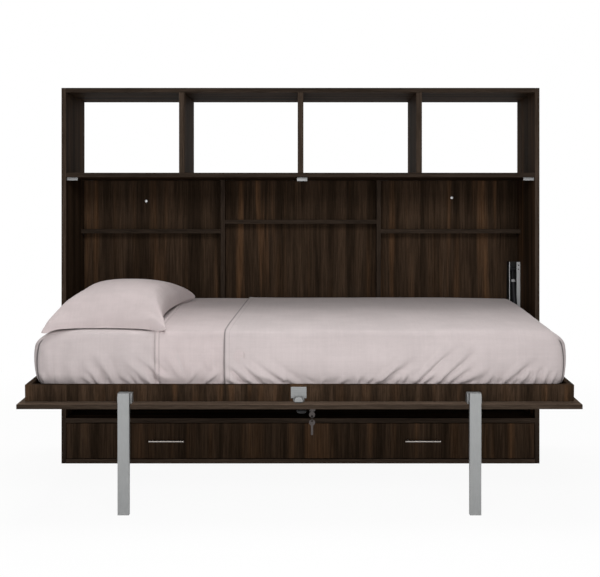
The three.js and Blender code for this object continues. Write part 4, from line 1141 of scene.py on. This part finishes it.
class WALLBED_OT_pillow(Operator):
    """Fill the pillow and lay it on the sheet"""

    bl_idname = "wallbed.pillow"
    bl_label = "Pillow"

    def execute(self, context):
        cloth, pillow = context.scene.wallbed_cloth, context.scene.wallbed_pillow
        half_box = (PILLOW_HIGH - PILLOW_LOW)[:2] / 2
        centre = (PILLOW_HIGH + PILLOW_LOW) / 2
        c, s = math.cos(pillow.turn), math.sin(pillow.turn)
        half = (half_box * c - half_box[::-1] * abs(s)) / math.cos(2 * pillow.turn)
        deck = MATTRESS_HIGH[2] + PILLOW_GAP
        rise = PILLOW_HIGH[2] - deck - pillow.belly
        flat = np.array((*half, pillow.seam / 2))
        bm = box_grid(tuple(-flat), tuple(flat), pillow.grid)
        put_points(bm, dome(points_of(bm), flat, half, rise, pillow))
        points = fill(bm, pillow)
        points[:, :2] *= half / np.abs(points[:, :2]).max(0)
        x, y, z = points.T
        z = np.where(z > 0, z * rise / z.max(), z)
        a, b = x / half[0], y / half[1]
        full = np.clip(z / rise, 0, 1)
        z += corner_gathers(points, half, pillow) * smooth(full, *GATHERED)
        lift = pillow.lift * smooth(a, *LIFT_ALONG) * smooth(-b, *LIFT_ACROSS) * (1 - full)
        x, y = x * c - y * s + centre[0], x * s + y * c + centre[1]
        drop = top_drop(np.stack((x, y), axis=1), cloth)
        towards_seam = -b / (1 - pillow.end_draw * (1 - a * a))
        seam = towards_seam > SEAM_FROM
        height = np.polyval(np.polyfit(a[seam], z[seam], 4), a) - pillow.seam / 2
        settle = (pillow.belly + height) * smooth(towards_seam, *SETTLES)
        z += deck + pillow.belly + lift - settle - np.minimum(drop, HANG) * (1 - full)
        put_points(bm, np.stack((x, y, np.maximum(z, deck - drop)), axis=1))
        material = cloth_material("pillow_cotton", tuple(cloth.linen), slub=0.8)
        piece = bed_object("pillow_case", bm, material)
        rounding = piece.modifiers.new("Soft", "SUBSURF")
        rounding.levels = rounding.render_levels = 1
        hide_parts("pillow")
        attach(piece, "bed")
        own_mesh(piece)
        return {"FINISHED"}


# ---------------------------------------------------------------- stage

WHITE = (1, 1, 1)


def area_light(name, place, aim, size, power):
    """A soft lamp at place, facing aim."""
    lamp = bpy.data.lights.new(name, "AREA")
    lamp.shape = "RECTANGLE"
    lamp.size, lamp.size_y = size
    lamp.energy = power
    made = bpy.data.objects.new(name, lamp)
    bpy.context.scene.collection.objects.link(made)
    made.location = place
    made.rotation_euler = (Vector(aim) - Vector(place)).to_track_quat("-Z", "Y").to_euler()


def seen_ray(g):
    """1 for rays that show the background: straight to the camera, in gloss and through glass."""
    path = g.add("ShaderNodeLightPath").outputs
    either = g.math("MAXIMUM", path["Is Camera Ray"], path["Is Glossy Ray"])
    return g.math("MAXIMUM", either, path["Is Transmission Ray"])


def emptied(owner):
    """The graph of a material or world, without its first nodes."""
    owner.use_nodes = True
    owner.node_tree.nodes.clear()
    return Graph(owner.node_tree)


def send_mixed(g, factor, first, second, output):
    """Mixes two shaders by factor into a new output node."""
    both = g.made("ShaderNodeMixShader", {0: factor, 1: first, 2: second})[0]
    g.made(output, {"Surface": both})


FLOOR_SIZE, FLOOR_TONE = 30.0, (0.9, 0.9, 0.9)
WHITE_FROM, WHITE_TO = 1.4, 3.2  # metres from the origin between which the floor turns white
NEAR_WHITE = 0.94  # how white the seen floor is near the bed
SENSOR_WIDTH, CLIP_START, CLIP_END = 36.0, 0.1, 60.0

# Each lamp: name, place, aim, size and the setting that gives its power
LAMPS = (
    ("top_lamp", (-0.3, 0.75, 4.2), (0, -0.5, 0.6), (2.6, 1.6), "top"),
    ("near_lamp", (0.15, -2.9, 2.1), (0.15, -0.9, 0.5), (1.7, 0.8), "near"),
    ("front_lamp", (0, -5.0, 0.9), (0, -0.3, 0.7), (4.0, 1.2), "front"),
)


class WALLBED_OT_stage(Operator):
    """Set up floor, room, lamps and camera"""

    bl_idname = "wallbed.stage"
    bl_label = "Stage"

    def execute(self, context):
        scene = context.scene
        stage = scene.wallbed_stage
        bm = bmesh.new()
        bmesh.ops.create_grid(bm, x_segments=2, y_segments=2, size=FLOOR_SIZE)
        floor = shown("floor", bm)
        made = bpy.data.materials.new("studio_floor")
        g = emptied(made)
        matt = g.made("ShaderNodeBsdfDiffuse", {"Color": FLOOR_TONE})[0]
        glow = g.made("ShaderNodeEmission", {"Color": WHITE, "Strength": 1.0})[0]
        away = g.made("ShaderNodeVectorMath", {0: g.place()}, operation="LENGTH")["Value"]
        white = g.range(away, WHITE_FROM, WHITE_TO, NEAR_WHITE, 1.0)
        send_mixed(g, g.times(seen_ray(g), white), matt, glow, "ShaderNodeOutputMaterial")
        floor.data.materials.append(made)

        scene.world = bpy.data.worlds.new("studio")
        g = emptied(scene.world)
        room, white = (
            g.made("ShaderNodeBackground", {"Color": WHITE, "Strength": strength})[0]
            for strength in (stage.ambient, 1.0)
        )
        send_mixed(g, seen_ray(g), room, white, "ShaderNodeOutputWorld")

        for name, place, aim, size, power in LAMPS:
            area_light(name, place, aim, size, getattr(stage, power))

        scene.view_settings.view_transform = "Standard"
        lens = bpy.data.cameras.new("photo_camera")
        lens.sensor_width = SENSOR_WIDTH
        lens.lens = stage.lens
        lens.shift_x, lens.shift_y = stage.shift_x, stage.shift_y
        lens.clip_start, lens.clip_end = CLIP_START, CLIP_END
        camera = bpy.data.objects.new("photo_camera", lens)
        scene.collection.objects.link(camera)
        camera.location = stage.eye
        camera.rotation_euler = (math.pi / 2, 0, 0)
        scene.camera = camera
        return {"FINISHED"}


class WALLBED_PT_panel(Panel):
    """The wall bed's pieces, in the order in which they are made"""

    bl_idname = "WALLBED_PT_panel"
    bl_label = "Wall Bed"
    bl_space_type = "VIEW_3D"
    bl_region_type = "UI"
    bl_category = "Wall Bed"

    def draw(self, context):
        for operator in OPERATORS:
            self.layout.operator(operator.bl_idname)
        for title, group in GROUPS.items():
            box = self.layout.box()
            box.label(text=group.__doc__)
            settings = getattr(context.scene, title)
            for name in group.__annotations__:
                box.prop(settings, name)


GROUPS = {
    "wallbed_boards": WALLBED_PG_boards,
    "wallbed_metal": WALLBED_PG_metal,
    "wallbed_slats": WALLBED_PG_slats,
    "wallbed_cloth": WALLBED_PG_cloth,
    "wallbed_pillow": WALLBED_PG_pillow,
    "wallbed_stage": WALLBED_PG_stage,
}
OPERATORS = (
    WALLBED_OT_stage,
    WALLBED_OT_boards,
    WALLBED_OT_slats,
    WALLBED_OT_fittings,
    WALLBED_OT_strut_channel,
    WALLBED_OT_mattress,
    WALLBED_OT_top_sheet,
    WALLBED_OT_coverlet,
    WALLBED_OT_pillow,
)


def register():
    for group in GROUPS.values():
        bpy.utils.register_class(group)
    for title, group in GROUPS.items():
        setattr(bpy.types.Scene, title, PointerProperty(type=group))
    for operator in OPERATORS:
        bpy.utils.register_class(operator)
    bpy.utils.register_class(WALLBED_PT_panel)


def unregister():
    bpy.utils.unregister_class(WALLBED_PT_panel)
    for operator in reversed(OPERATORS):
        bpy.utils.unregister_class(operator)
    for title in GROUPS:
        delattr(bpy.types.Scene, title)
    for group in reversed(list(GROUPS.values())):
        bpy.utils.unregister_class(group)


def main():
    register()
    bpy.ops.wallbed.stage()
    bpy.ops.wallbed.boards()
    bpy.ops.wallbed.slats()
    bpy.ops.wallbed.fittings()
    bpy.ops.wallbed.strut_channel()
    bpy.ops.wallbed.mattress()
    bpy.ops.wallbed.top_sheet()
    bpy.ops.wallbed.coverlet()
    bpy.ops.wallbed.pillow()


if __name__ == "__main__":
    main()
